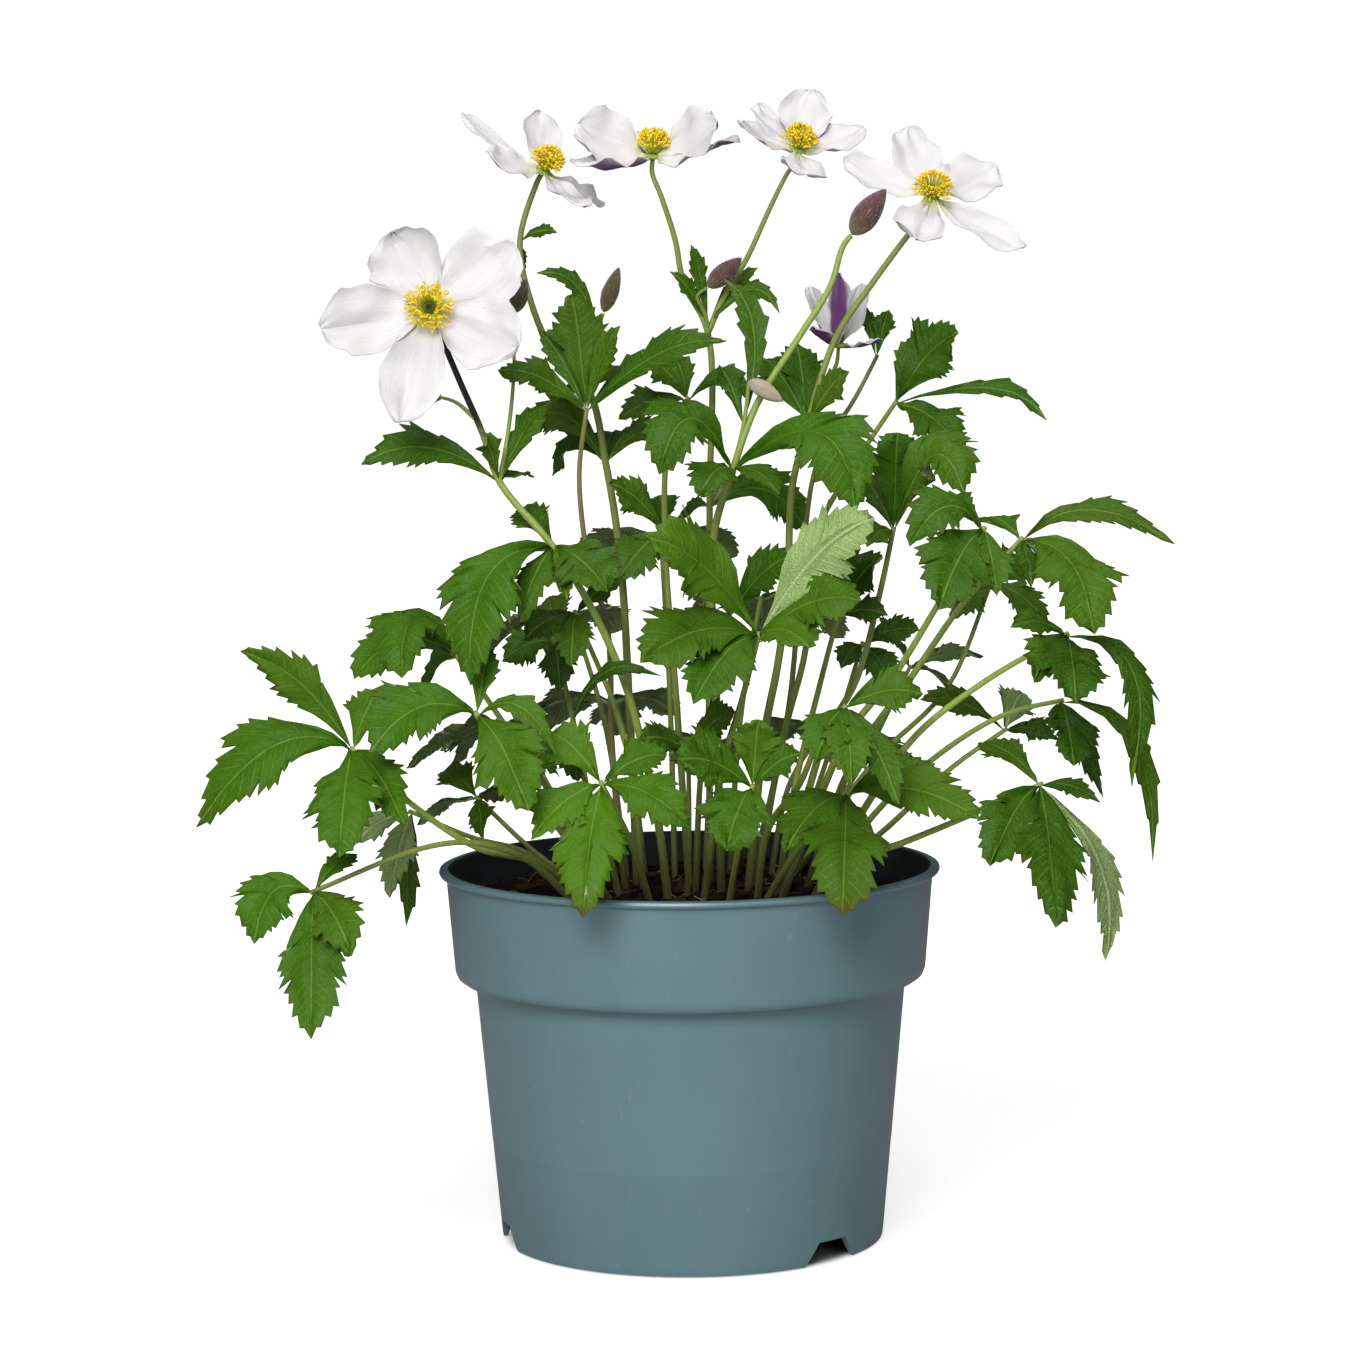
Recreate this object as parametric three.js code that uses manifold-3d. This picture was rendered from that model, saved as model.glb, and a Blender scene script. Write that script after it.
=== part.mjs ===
// Potted Japanese anemone: white flowers on branching stems above a mound of cut leaves, in a
// nursery pot. Millimetres, +Z up, +X to the right, the front towards -Y. The origin is the
// middle of the pot's foot, on the ground.

import * as THREE from 'three';
import { mergeVertices } from 'three/addons/utils/BufferGeometryUtils.js';
import Module from 'manifold-3d';

const wasm = await Module();
wasm.setup();

// Pot
const RIM_RADIUS = 95;
const POT_HEIGHT = 142;
const COLLAR_TOP_RADIUS = 92.3;
const COLLAR_FOOT_RADIUS = 89.5;
const COLLAR_FOOT = 104;
const BODY_TOP_RADIUS = 81.8;
const BODY_TOP = 99;
const FOOT_RADIUS = 72.4;
const WALL = 1.8;
const FLOOR_HEIGHT = 9;
const BEAD_HEIGHT = 2.4;
const POT_SIDES = 32;
const NOTCH_AZIMUTHS = [-45, -166, 75];
const NOTCH = { foot: 26, top: 14, height: 8.5 };
const DRAIN = { count: 6, radius: 5, ring: 52 };

// Corners closer together than this are merged where blades and stalks grow into each other
const MERGE_DISTANCE = 0.04;

// Soil
const SOIL_HEIGHT = 130;
const SOIL_RELIEF = 1.6;
const ROOT_DEPTH = 10;
const SEAT_GAP = 0.3;
const HOLE_GAP = 1;
const HOLE_RISE = 9;

// Plant
const BLADE_THICKNESS = 0.7;
const FOLD = 0.16;
const LEAN = 1.22;
const STALK_SIDES = 4;
const STALK_OVERRUN = 1.3;
const HUB_RADIUS = 0.8;
const DISC_RADIUS = 3.2;
const DISC_THICKNESS = 2;
const CLAW_RADIUS = 2.2;
const STAMEN_COUNT = 11;
const ANTHER_RADIUS = 0.8;

// The front sheet: a drawing of the plant as it is seen from the front at this distance and
// height. A point of it is [across, depth, up]: where the pot's middle plane would show it, and
// how far behind that plane it lies.
const VIEW_DISTANCE = 1560;
const VIEW_HEIGHT = 370;

const COLOURS = {
  pot: { color: 0x5f7c80, roughness: 0.45, metalness: 0 },
  soil: { color: 0x1a110b, roughness: 1, metalness: 0 },
  leaf: { color: 0x3f7a22, roughness: 0.6, metalness: 0 },
  stem: { color: 0x6f7a35, roughness: 0.6, metalness: 0 },
  petal: { color: 0xf4f1f6, roughness: 0.6, metalness: 0 },
  stamen: { color: 0xe3b800, roughness: 0.8, metalness: 0 },
  bud: { color: 0x5c4038, roughness: 0.8, metalness: 0 },
};

// The flowers: the middle of each, the way it faces, and its petals' tips and widths
const FLOWERS = [
  {
    number: 1, centre: [-95, -58, 353], axis: [-0.08, -0.97, 0.2], spread: 8,
    petals: [
      [[-136, -66, 346], 22], [[-109, -50, 382], 24], [[-63, -52, 377], 25],
      [[-62, -66, 339], 23], [[-107, -72, 311], 21],
    ],
  },
  {
    number: 2, centre: [-52, 4, 404], axis: [0.42, -0.5, 0.76], spread: 6,
    petals: [
      [[-82, 8, 426], 9], [[-72, -12, 411], 14], [[-52, 22, 426], 15],
      [[-29, 12, 392], 12], [[-36, -20, 391], 12],
    ],
  },
  {
    number: 3, centre: [-11, 12, 409], axis: [0.05, -0.22, 0.97], spread: 6,
    petals: [
      [[-39, 4, 421], 20], [[-41, -12, 407], 18], [[13, -2, 422], 20], [[21, 10, 416], 20],
      [[-16, 46, 418], 22],
    ],
  },
  {
    number: 4, centre: [43, 12, 411], axis: [0.24, -0.48, 0.84], spread: 6,
    petals: [
      [[22, 2, 421], 16], [[28, 26, 428], 12], [[48, 30, 433], 18], [[68, 20, 419], 17],
      [[47, -16, 402], 17],
    ],
  },
  {
    number: 5, centre: [93, -12, 393], axis: [0.1, -0.72, 0.69], spread: 7,
    petals: [
      [[60, -4, 408], 14], [[84, 12, 419], 18], [[117, 8, 405], 20], [[128, -20, 374], 13],
      [[87, -34, 378], 18],
    ],
  },
  {
    number: 6, centre: [58, 8, 338], axis: [0.1, -0.12, 0.98], spread: 0.8, heart: 1.2,
    stamenCount: 5,
    petals: [
      [[47, 14, 360], 13], [[59, 2, 365], 9], [[67, 16, 361], 12], [[74, 0, 340], 10],
      [[49, -4, 345], 9],
    ],
  },
];

// The closed buds: foot, tip and width
const BUDS = [
  { number: 1, foot: [63, -20, 379], tip: [76, -24, 396], width: 11 },
  { number: 2, foot: [9, 6, 360], tip: [22, 0, 371], width: 8.5 },
  { number: 3, foot: [-30, 0, 351], tip: [-24, -2, 368], width: 7 },
];

// Flower stems. Each stalk is its radius, its points on the front sheet and what it bears. A stem
// stands in the soil at its root. A whorl is the point that its blades grow from, and each
// blade's tip, its width and, where it arches further than most, the point that it passes over.
const FLOWER_STEMS = [
  {
    name: 'flower_stem_1', root: [-8, -20],
    stalks: [
      {
        radius: 1.7, bears: 'flower_1',
        points: [
          [-12, -24, 160], [-18, -28, 190], [-24, -32, 212], [-35, -38, 238], [-50, -44, 263],
          [-70, -36, 288], [-76, -38, 306], [-84, -44, 325], [-92, -49, 345],
        ],
      },
      { radius: 0.9, points: [[-70, -36, 288], [-66, -33, 310], [-64, -30, 330], [-64, -28, 352]] },
      { radius: 0.9, points: [[-79, -40, 312], [-86, -34, 318], [-92, -31, 320]] },
    ],
    knobs: [[[-64, -28, 351], [-59, -28, 364], 7], [[-91, -31, 320], [-103, -25, 320], 5]],
    whorls: [
      {
        at: [-50, -44, 263],
        blades: [
          [[-82, -75, 211], 26, [-75, -68, 252]], [[-63, -70, 235], 13], [[-30, -64, 246], 20],
          [[-45, -62, 243], 11], [[-64, -18, 277], 13],
        ],
      },
      {
        at: [-70, -36, 288],
        blades: [
          [[-122, -44, 295], 15, [-97, -42, 301]], [[-77, -52, 307], 8], [[-50, -30, 318], 12],
          [[-60, -18, 290], 12],
        ],
      },
    ],
  },
  {
    name: 'flower_stem_2', root: [-24, -2],
    stalks: [
      {
        radius: 1.5,
        points: [
          [-27, -4, 160], [-29, -6, 190], [-30, -10, 232], [-37, -18, 258], [-40, -22, 290],
          [-37, -25, 314],
        ],
      },
    ],
    whorls: [
      {
        at: [-37, -25, 314],
        blades: [
          [[-42, -32, 358], 17], [[-70, -38, 330], 15], [[-24, -38, 346], 11],
          [[16, -44, 340], 15, [-10, -38, 335]], [[-4, -14, 336], 11], [[-55, -18, 345], 9],
        ],
      },
    ],
  },
  {
    name: 'flower_stem_3', root: [-20, 12],
    stalks: [
      {
        radius: 1.7, bears: 'flower_2',
        points: [
          [-22, 11, 200], [-25, 8, 260], [-30, 6, 295], [-36, 4, 322], [-50, 4, 338],
          [-58, 5, 358], [-61, 6, 378],
        ],
      },
      { radius: 1, bears: 'bud_3', points: [[-36, 4, 322], [-34, 3, 335], [-32, 2, 344]] },
    ],
    whorls: [
      { at: [-61, 6, 378], blades: [[[-47, 0, 381], 7], [[-60, 12, 366], 5]] },
      { at: [-32, 2, 344], blades: [[[-55, -2, 366], 8, [-41, -1, 362]]] },
      { at: [-36, 4, 322], blades: [[[-22, 16, 330], 10], [[-48, 18, 318], 9]] },
      {
        at: [-30, 6, 295],
        blades: [
          [[-62, 22, 306], 17, [-46, 16, 313]], [[-50, 34, 290], 14, [-42, 22, 302]],
          [[-26, 38, 306], 15], [[-4, 22, 300], 15, [-16, 16, 306]],
        ],
      },
    ],
  },
  {
    name: 'flower_stem_4', root: [0, 5],
    stalks: [
      { radius: 1.6, points: [[-4, 5, 200], [-8, 5, 268], [-6, 5, 303], [1, 5, 318]] },
    ],
    whorls: [
      {
        at: [1, 5, 318],
        blades: [
          [[-14, 2, 334], 12], [[24, -2, 317], 10, [15, 0, 327]], [[-25, -2, 311], 13],
          [[-3, 26, 333], 12],
        ],
      },
      {
        at: [-8, 5, 268],
        blades: [
          [[-26, -6, 250], 17], [[14, 2, 256], 15], [[-29, -6, 287], 14], [[-10, 30, 282], 13],
        ],
      },
    ],
  },
  {
    name: 'flower_stem_5', root: [8, 15],
    stalks: [
      {
        radius: 1.5, bears: 'flower_3',
        points: [
          [8, 15, 200], [9, 14, 280], [9, 12, 343], [0, 12, 362], [-3, 12, 378], [-8, 12, 394],
        ],
      },
      {
        radius: 1.2, bears: 'flower_4',
        points: [[9, 12, 343], [15, 12, 356], [24, 12, 371], [32, 12, 388], [38, 13, 400]],
      },
      { radius: 1, bears: 'bud_2', points: [[9, 12, 343], [8, 10, 350]] },
    ],
    whorls: [
      {
        at: [9, 12, 346],
        blades: [
          [[-5, 4, 366], 7], [[3, 2, 376], 7], [[36, 6, 350], 8, [25, 8, 359]],
          [[28, 20, 367], 7],
        ],
      },
      {
        at: [9, 14, 278],
        blades: [
          [[46, 28, 268], 20, [29, 22, 284]], [[22, 42, 286], 14], [[-6, 44, 266], 14],
        ],
      },
    ],
  },
  {
    name: 'flower_stem_6', root: [12, -10],
    stalks: [
      {
        radius: 1.7, bears: 'bud_1',
        points: [
          [11, -12, 200], [10, -14, 264], [18, -28, 292], [27, -26, 316], [43, -22, 341],
          [55, -20, 360],
        ],
      },
      { radius: 1.1, points: [[18, -28, 292], [22, -28, 308], [24, -31, 323]] },
    ],
    knobs: [[[24, -32, 325], [37, -36, 317], 7]],
    whorls: [
      {
        at: [22, -28, 308],
        blades: [[[15, -22, 363], 10, [26, -26, 344]], [[13, -18, 331], 9]],
      },
      {
        at: [18, -28, 292],
        blades: [
          [[-10, -46, 290], 24, [2, -42, 311]], [[5, -60, 282], 17], [[35, -54, 282], 13],
          [[64, -62, 275], 28, [50, -50, 305]],
        ],
      },
    ],
  },
  {
    name: 'flower_stem_7', root: [22, -5],
    stalks: [
      {
        radius: 1.7, bears: 'flower_5',
        points: [
          [29, -8, 192], [34, -8, 217], [38, -8, 245], [40, -8, 284], [46, -5, 308],
          [57, -4, 341], [70, -5, 360], [82, -8, 376],
        ],
      },
      { radius: 1.1, bears: 'flower_6', points: [[46, -5, 308], [52, 4, 318], [56, 8, 328]] },
    ],
    whorls: [
      {
        at: [46, -5, 308],
        blades: [[[29, 6, 334], 18], [[42, 12, 339], 16], [[62, -14, 328], 11]],
      },
    ],
  },
  {
    name: 'flower_stem_8', root: [25, 8],
    stalks: [
      {
        radius: 1.5,
        points: [
          [36, 8, 190], [45, 8, 225], [47, 10, 262], [60, 12, 288], [70, 10, 303], [79, 6, 316],
        ],
      },
    ],
    whorls: [
      {
        at: [79, 6, 316],
        blades: [
          [[103, -6, 342], 22], [[136, -6, 309], 10, [116, 0, 321]], [[104, -12, 298], 19],
          [[88, 14, 341], 11],
        ],
      },
    ],
  },
  {
    name: 'flower_stem_9', root: [23, 21],
    stalks: [
      {
        radius: 1.3,
        points: [[38, 21, 200], [44, 21, 260], [50, 20, 295], [64, 18, 318], [72, 16, 333]],
      },
    ],
    whorls: [
      { at: [72, 16, 333], blades: [[[77, 10, 351], 8], [[67, 18, 353], 6]] },
      { at: [50, 20, 295], blades: [[[76, 36, 290], 15], [[34, 42, 302], 14]] },
      { at: [43, 21, 248], blades: [[[66, 34, 244], 15, [56, 28, 256]], [[28, 44, 250], 13]] },
    ],
  },
];

// Leaves that rise from the soil on stalks of their own
const LEAVES = [
  {
    name: 'leaf_left_1', root: [-38, -16], radius: 1.7,
    points: [[-57, -30, 143], [-80, -44, 149], [-105, -55, 166], [-127, -60, 187]],
    blades: [
      [[-169, -75, 225], 16, [-146, -66, 212]], [[-187, -72, 158], 26, [-156, -68, 189]],
      [[-133, -105, 146], 23], [[-108, -90, 158], 16], [[-116, -42, 210], 16],
    ],
  },
  {
    name: 'leaf_left_2', root: [-28, -30], radius: 1.7,
    points: [[-45, -45, 150], [-65, -60, 178], [-80, -70, 200]],
    blades: [
      [[-121, -88, 186], 26, [-101, -80, 203]], [[-61, -100, 163], 22],
      [[-50, -78, 184], 10, [-64, -76, 203]], [[-74, -60, 225], 11],
    ],
  },
  {
    name: 'leaf_left_3', root: [-35, -3], radius: 1.6,
    points: [[-50, -8, 165], [-72, -14, 200], [-87, -20, 222]],
    blades: [
      [[-126, -10, 214], 20, [-107, -14, 229]], [[-108, -48, 214], 24, [-103, -36, 236]],
      [[-100, 14, 210], 17], [[-76, 2, 240], 13],
    ],
  },
  {
    name: 'leaf_left_4', root: [-42, -27], radius: 1.5,
    points: [[-61, -42, 144], [-82, -58, 151], [-102, -70, 149], [-143, -87, 133]],
    blades: [
      [[-166, -95, 113], 20, [-158, -92, 133]], [[-145, -112, 76], 22], [[-129, -112, 108], 18],
      [[-126, -70, 147], 12],
    ],
  },
  {
    name: 'leaf_left_5', root: [-44, 4], radius: 1.4,
    points: [[-62, -4, 147], [-82, -14, 153], [-105, -28, 163]],
    blades: [[[-114, -46, 130], 14], [[-108, -14, 119], 11], [[-128, -22, 150], 12]],
  },
  {
    name: 'leaf_left_6', root: [-17, -12], radius: 1.5,
    points: [[-24, -16, 190], [-42, -26, 238]],
    blades: [[[-62, -36, 228], 15], [[-44, -48, 218], 14], [[-24, -34, 250], 12]],
  },
  {
    name: 'leaf_left_7', root: [-33, 8], radius: 1.5,
    points: [[-40, 8, 180], [-50, 6, 228]],
    blades: [[[-70, 4, 220], 16], [[-48, -12, 208], 13], [[-52, 28, 244], 15]],
  },
  {
    name: 'leaf_left_8', root: [-26, -15], radius: 1.5,
    points: [[-34, -18, 160], [-46, -24, 190]],
    blades: [[[-64, -30, 176], 18], [[-42, -44, 174], 13], [[-10, -46, 214], 7, [-32, -43, 215]]],
  },
  {
    name: 'leaf_left_9', root: [-38, 18], radius: 1.5,
    points: [[-56, 28, 145], [-80, 40, 168]],
    blades: [[[-103, 44, 158], 15], [[-78, 24, 152], 12], [[-70, 64, 168], 14], [[-94, 62, 178], 13]],
  },
  {
    name: 'leaf_centre_1', root: [-14, -38], radius: 1.7,
    points: [[-22, -56, 150], [-33, -75, 173]],
    blades: [
      [[-60, -92, 152], 18], [[-41, -112, 122], 24], [[0, -96, 156], 18], [[-8, -70, 184], 16],
      [[-53, -62, 193], 18],
    ],
  },
  {
    name: 'leaf_centre_2', root: [5, -30], radius: 1.7,
    points: [[13, -45, 180], [20, -55, 203], [27, -60, 229]],
    blades: [
      [[71, -75, 273], 24], [[-14, -85, 266], 28], [[-18, -95, 219], 24], [[2, -100, 203], 22],
      [[46, -90, 224], 20], [[66, -82, 242], 20],
    ],
  },
  {
    name: 'leaf_centre_3', root: [14, -42], radius: 1.6,
    points: [[19, -64, 150], [24, -85, 171]],
    blades: [[[-4, -100, 182], 22], [[27, -88, 197], 17], [[43, -92, 184], 12], [[14, -112, 147], 24]],
  },
  {
    name: 'leaf_centre_4', root: [-1, -26], radius: 1.4,
    points: [[0, -36, 160], [0, -45, 185]],
    blades: [[[-18, -56, 190], 13], [[18, -56, 200], 13], [[2, -68, 176], 13]],
  },
  {
    name: 'leaf_centre_5', root: [2, -10], radius: 1.5,
    points: [[6, -16, 190], [16, -32, 236]],
    blades: [[[4, -50, 262], 18], [[40, -44, 259], 18], [[22, -54, 240], 12]],
  },
  {
    name: 'leaf_centre_6', root: [26, -38], radius: 1.6,
    points: [[42, -50, 148], [60, -60, 168]],
    blades: [[[58, -112, 122], 24], [[36, -96, 146], 18], [[110, -84, 158], 20], [[97, -54, 176], 14]],
  },
  {
    name: 'leaf_centre_7', root: [33, -12], radius: 1.6,
    points: [[40, -18, 170], [50, -22, 210], [57, -28, 236]],
    blades: [[[74, -42, 258], 16], [[44, -42, 262], 13], [[76, -30, 236], 12]],
  },
  {
    name: 'leaf_right_1', root: [35, -2], radius: 1.7,
    points: [[52, -8, 190], [64, -12, 212], [73, -16, 245], [78, -20, 268]],
    blades: [
      [[80, -26, 305], 20], [[105, -42, 281], 24, [93, -34, 296]], [[68, -40, 262], 12],
      [[64, -10, 291], 12],
    ],
  },
  {
    name: 'leaf_right_2', root: [34, -22], radius: 1.7,
    points: [[60, -40, 190], [78, -52, 213], [96, -62, 242], [112, -70, 268]],
    blades: [
      [[84, -85, 262], 18, [98, -80, 277]], [[95, -104, 238], 24], [[117, -92, 243], 15],
      [[94, -50, 281], 13],
    ],
  },
  {
    name: 'leaf_right_3', root: [43, -12], radius: 1.7,
    points: [[62, -25, 180], [85, -35, 213], [104, -42, 240], [126, -50, 264]],
    blades: [
      [[184, -60, 262], 13, [152, -55, 275]], [[154, -90, 228], 25, [144, -72, 256]],
      [[130, -66, 246], 12], [[138, -30, 248], 10], [[112, -26, 272], 14],
    ],
  },
  {
    name: 'leaf_right_4', root: [38, 24], radius: 1.4,
    points: [[70, 20, 180], [98, 17, 208], [115, 16, 248]],
    blades: [[[137, 5, 231], 16], [[100, -4, 234], 13], [[128, 40, 252], 15]],
  },
  {
    name: 'leaf_right_5', root: [45, -25], radius: 1.7,
    points: [[65, -38, 160], [86, -48, 190], [113, -55, 211], [143, -60, 228]],
    blades: [
      [[122, -78, 231], 12], [[131, -84, 210], 16], [[147, -92, 202], 20],
      [[168, -66, 170], 13, [168, -62, 214]],
    ],
  },
  {
    name: 'leaf_right_6', root: [49, 0], radius: 1.5,
    points: [[70, -12, 160], [95, -20, 183], [120, -26, 198], [141, -30, 203]],
    blades: [
      [[146, -54, 178], 20], [[176, -36, 141], 11, [168, -33, 188]], [[157, -16, 166], 13],
    ],
  },
  {
    name: 'leaf_right_7', root: [43, -37], radius: 1.7,
    points: [[60, -44, 142], [80, -52, 149], [105, -60, 159], [133, -70, 171]],
    blades: [
      [[114, -98, 140], 20], [[139, -114, 116], 26], [[158, -62, 103], 13, [156, -66, 140]],
      [[110, -46, 187], 14], [[156, -80, 164], 12],
    ],
  },
  {
    name: 'leaf_right_8', root: [47, 13], radius: 1.5,
    points: [[75, 14, 155], [100, 18, 178], [120, 20, 192]],
    blades: [[[140, 12, 188], 13], [[127, 34, 206], 14], [[88, 6, 204], 13]],
  },
  {
    name: 'leaf_right_9', root: [25, -25], radius: 1.6,
    points: [[30, -34, 155], [42, -52, 172], [50, -66, 190], [59, -75, 201]],
    blades: [
      [[48, -104, 180], 17], [[62, -108, 172], 16], [[80, -98, 164], 14], [[89, -72, 206], 17],
    ],
  },
  {
    name: 'leaf_right_10', root: [35, 12], radius: 1.4,
    points: [[52, 10, 180], [66, 2, 225]],
    blades: [[[58, -14, 216], 11], [[78, -12, 208], 13], [[88, -2, 230], 13]],
  },
  {
    name: 'leaf_right_11', root: [32, 33], radius: 1.4,
    points: [[60, 36, 170], [84, 40, 216]],
    blades: [[[112, 34, 220], 14], [[98, 60, 208], 14], [[74, 62, 232], 14]],
  },
];

// Leaves on the far side, spread round the plant: azimuth, reach and height of the leaf's hub,
// and where round the crown its stalk stands
const BACK_LEAVES = [
  { azimuth: 50, reach: 80, height: 184, crown: 49 },
  { azimuth: 64, reach: 66, height: 238, crown: 35 },
  { azimuth: 82, reach: 78, height: 178, crown: 46 },
  { azimuth: 100, reach: 56, height: 262, crown: 32 },
  { azimuth: 112, reach: 80, height: 196, crown: 46 },
  { azimuth: 132, reach: 66, height: 232, crown: 36 },
  { azimuth: 149, reach: 82, height: 190, crown: 52 },
];
const BACK_STALK_RADIUS = 1.5;
const BACK_BLADES = [
  { turn: -72, length: 34, width: 18, droop: 8 },
  { turn: -28, length: 42, width: 22, droop: 18 },
  { turn: 24, length: 40, width: 22, droop: 16 },
  { turn: 74, length: 34, width: 18, droop: 6 },
];

// Half outlines: part of the length, part of the width
const LOBE = { edge: [[0.34, 0.2], [0.6, 0.5], [0.66, 0.31], [0.84, 0.28]], rib: [0.46] };
const LEAFLET = { edge: [[0.36, 0.26], [0.62, 0.5], [0.7, 0.28]], rib: [0.55] };
const PETAL = { edge: [[0.3, 0.3], [0.62, 0.5], [0.9, 0.34]], rib: [0.5] };
const BRACT = { edge: [[0.55, 0.5], [0.66, 0.3]], rib: [0.5] };
const LOBE_WIDTH = 18;
const BRACT_WIDTH = 12;

const UP = new THREE.Vector3(0, 0, 1);

function place([across, depth, up]) {
  const spread = (VIEW_DISTANCE + depth) / VIEW_DISTANCE;
  return new THREE.Vector3(across * spread, depth, VIEW_HEIGHT + (up - VIEW_HEIGHT) * spread);
}

function towards(start, end, distance) {
  return end.clone().sub(start).setLength(distance).add(start);
}

function solid(geometry) {
  const bare = geometry.clone();
  bare.deleteAttribute('normal');
  bare.deleteAttribute('uv');
  const merged = mergeVertices(bare, 1e-4);
  return new wasm.Manifold(new wasm.Mesh({
    numProp: 3,
    vertProperties: new Float32Array(merged.getAttribute('position').array),
    triVerts: new Uint32Array(merged.getIndex().array),
  }));
}

function surface(body) {
  const mesh = body.getMesh();
  const geometry = new THREE.BufferGeometry();
  geometry.setAttribute('position', new THREE.BufferAttribute(mesh.vertProperties, 3));
  geometry.setIndex(new THREE.BufferAttribute(mesh.triVerts, 1));
  geometry.computeVertexNormals();
  return geometry;
}

function joined(bodies) {
  return bodies.reduce((whole, body) => whole.add(body));
}

function named(name, body, colour) {
  const merged = body.asOriginal().simplify(MERGE_DISTANCE).asOriginal().simplify(MERGE_DISTANCE);
  const mesh = new THREE.Mesh(surface(merged), new THREE.MeshStandardMaterial(COLOURS[colour]));
  mesh.name = name;
  return mesh;
}

// A round stalk of few sides, with a ring of corners at each of its points
function stalk(points, radius) {
  const curve = new THREE.CatmullRomCurve3(points, false, 'centripetal');
  curve.getUtoTmapping = (share) => share;
  const section = new THREE.Shape();
  for (let side = 0; side < STALK_SIDES; side += 1) {
    const angle = (2 * Math.PI * side) / STALK_SIDES;
    const corner = [radius * Math.cos(angle), radius * Math.sin(angle)];
    if (side === 0) section.moveTo(...corner);
    else section.lineTo(...corner);
  }
  return solid(new THREE.ExtrudeGeometry(section, { steps: points.length - 1, extrudePath: curve }));
}

// A thin blade along an arched rib: its outline is the same on both sides of the rib, and both
// faces are split alike, so that they stay one thickness apart
function blade(base, over, tip, width, facing, form, fold) {
  const middle = base.clone().add(tip).multiplyScalar(0.5);
  const rib = new THREE.QuadraticBezierCurve3(base, over.clone().multiplyScalar(2).sub(middle), tip);
  const right = [[0, 0], ...form.edge, [1, 0]];
  const spine = form.rib.map((along) => [along, 0]);
  const left = form.edge.map(([along, out]) => [along, -out]).reverse();
  const flat = [...right, ...left, ...spine];
  const top = [];
  const bottom = [];
  for (const [along, out] of flat) {
    const forward = rib.getTangent(along);
    const side = forward.clone().cross(facing).normalize();
    const normal = side.clone().cross(forward).normalize();
    const point = rib.getPoint(along).addScaledVector(side, out * width);
    point.addScaledVector(normal, fold * Math.abs(out) * width);
    top.push(point.clone().addScaledVector(normal, BLADE_THICKNESS / 2));
    bottom.push(point.clone().addScaledVector(normal, -BLADE_THICKNESS / 2));
  }
  const tipIndex = right.length - 1;
  const leftIndices = left.map((_, i) => tipIndex + 1 + i);
  const spineIndices = spine.map((_, i) => right.length + left.length + i);
  const halves = [
    [...right.keys(), ...spineIndices.toReversed()],
    [0, ...spineIndices, tipIndex, ...leftIndices],
  ];
  const triangles = [];
  const count = flat.length;
  for (const half of halves) {
    const contour = half.map((i) => new THREE.Vector2(flat[i][1], flat[i][0]));
    for (const [a, b, c] of THREE.ShapeUtils.triangulateShape(contour, [])) {
      triangles.push(half[a], half[b], half[c]);
      triangles.push(half[c] + count, half[b] + count, half[a] + count);
    }
  }
  const ring = right.length + left.length;
  for (let i = 0; i < ring; i += 1) {
    const next = (i + 1) % ring;
    triangles.push(i + count, next + count, next, i + count, next, i);
  }
  const geometry = new THREE.BufferGeometry().setFromPoints([...top, ...bottom]);
  geometry.setIndex(triangles);
  return solid(geometry);
}

// The way a leaf's upper face looks: up and forward at the front, up and outward at the back
function leafFacing(hub) {
  if (hub.y < 24) return new THREE.Vector3(hub.x * 0.003, -0.72, 0.62).normalize();
  return new THREE.Vector3(hub.x * 0.006, hub.y * 0.006, 0.8).normalize();
}

function bladeForm(width) {
  if (width > LOBE_WIDTH) return LOBE;
  return width > BRACT_WIDTH ? LEAFLET : BRACT;
}

function leafBlade(middlePoint, [tipPoint, width, overPoint]) {
  const tip = place(tipPoint);
  const hub = towards(middlePoint, tip, HUB_RADIUS);
  const middle = hub.clone().add(tip).multiplyScalar(0.5);
  const over = overPoint ? place(overPoint) : middle.addScaledVector(UP, 0.12 * hub.distanceTo(tip));
  return blade(hub, over, tip, width * LEAN, leafFacing(hub), bladeForm(width), FOLD);
}

// A stalk's points in space, run on a little past the last so that blades start inside it
function risen(points) {
  const placed = points.map(place);
  const last = placed.at(-1);
  const onward = last.clone().sub(placed.at(-2)).normalize();
  placed[placed.length - 1] = last.clone().addScaledVector(onward, STALK_OVERRUN);
  return placed;
}

// A stalk runs straight through the soil: from its root's end, past where it leaves the soil,
// towards its first point above
function rootPoints([x, y], first) {
  const ground = new THREE.Vector3(x, y, SOIL_HEIGHT);
  return [towards(ground, first, -ROOT_DEPTH), ground];
}

// What a stalk can bear: the point it ends at and the way it points there
function flowerSeat({ centre, axis }) {
  const way = new THREE.Vector3(...axis).normalize();
  const seat = place(centre).addScaledVector(way, -DISC_THICKNESS / 2 - SEAT_GAP);
  return { seat, way };
}

function budSeat({ foot, tip }) {
  const way = place(tip).sub(place(foot)).normalize();
  return { seat: place(foot).addScaledVector(way, -SEAT_GAP), way };
}

const SEATS = Object.fromEntries([
  ...FLOWERS.map((flower) => [`flower_${flower.number}`, flowerSeat(flower)]),
  ...BUDS.map((bud) => [`bud_${bud.number}`, budSeat(bud)]),
]);

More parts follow.
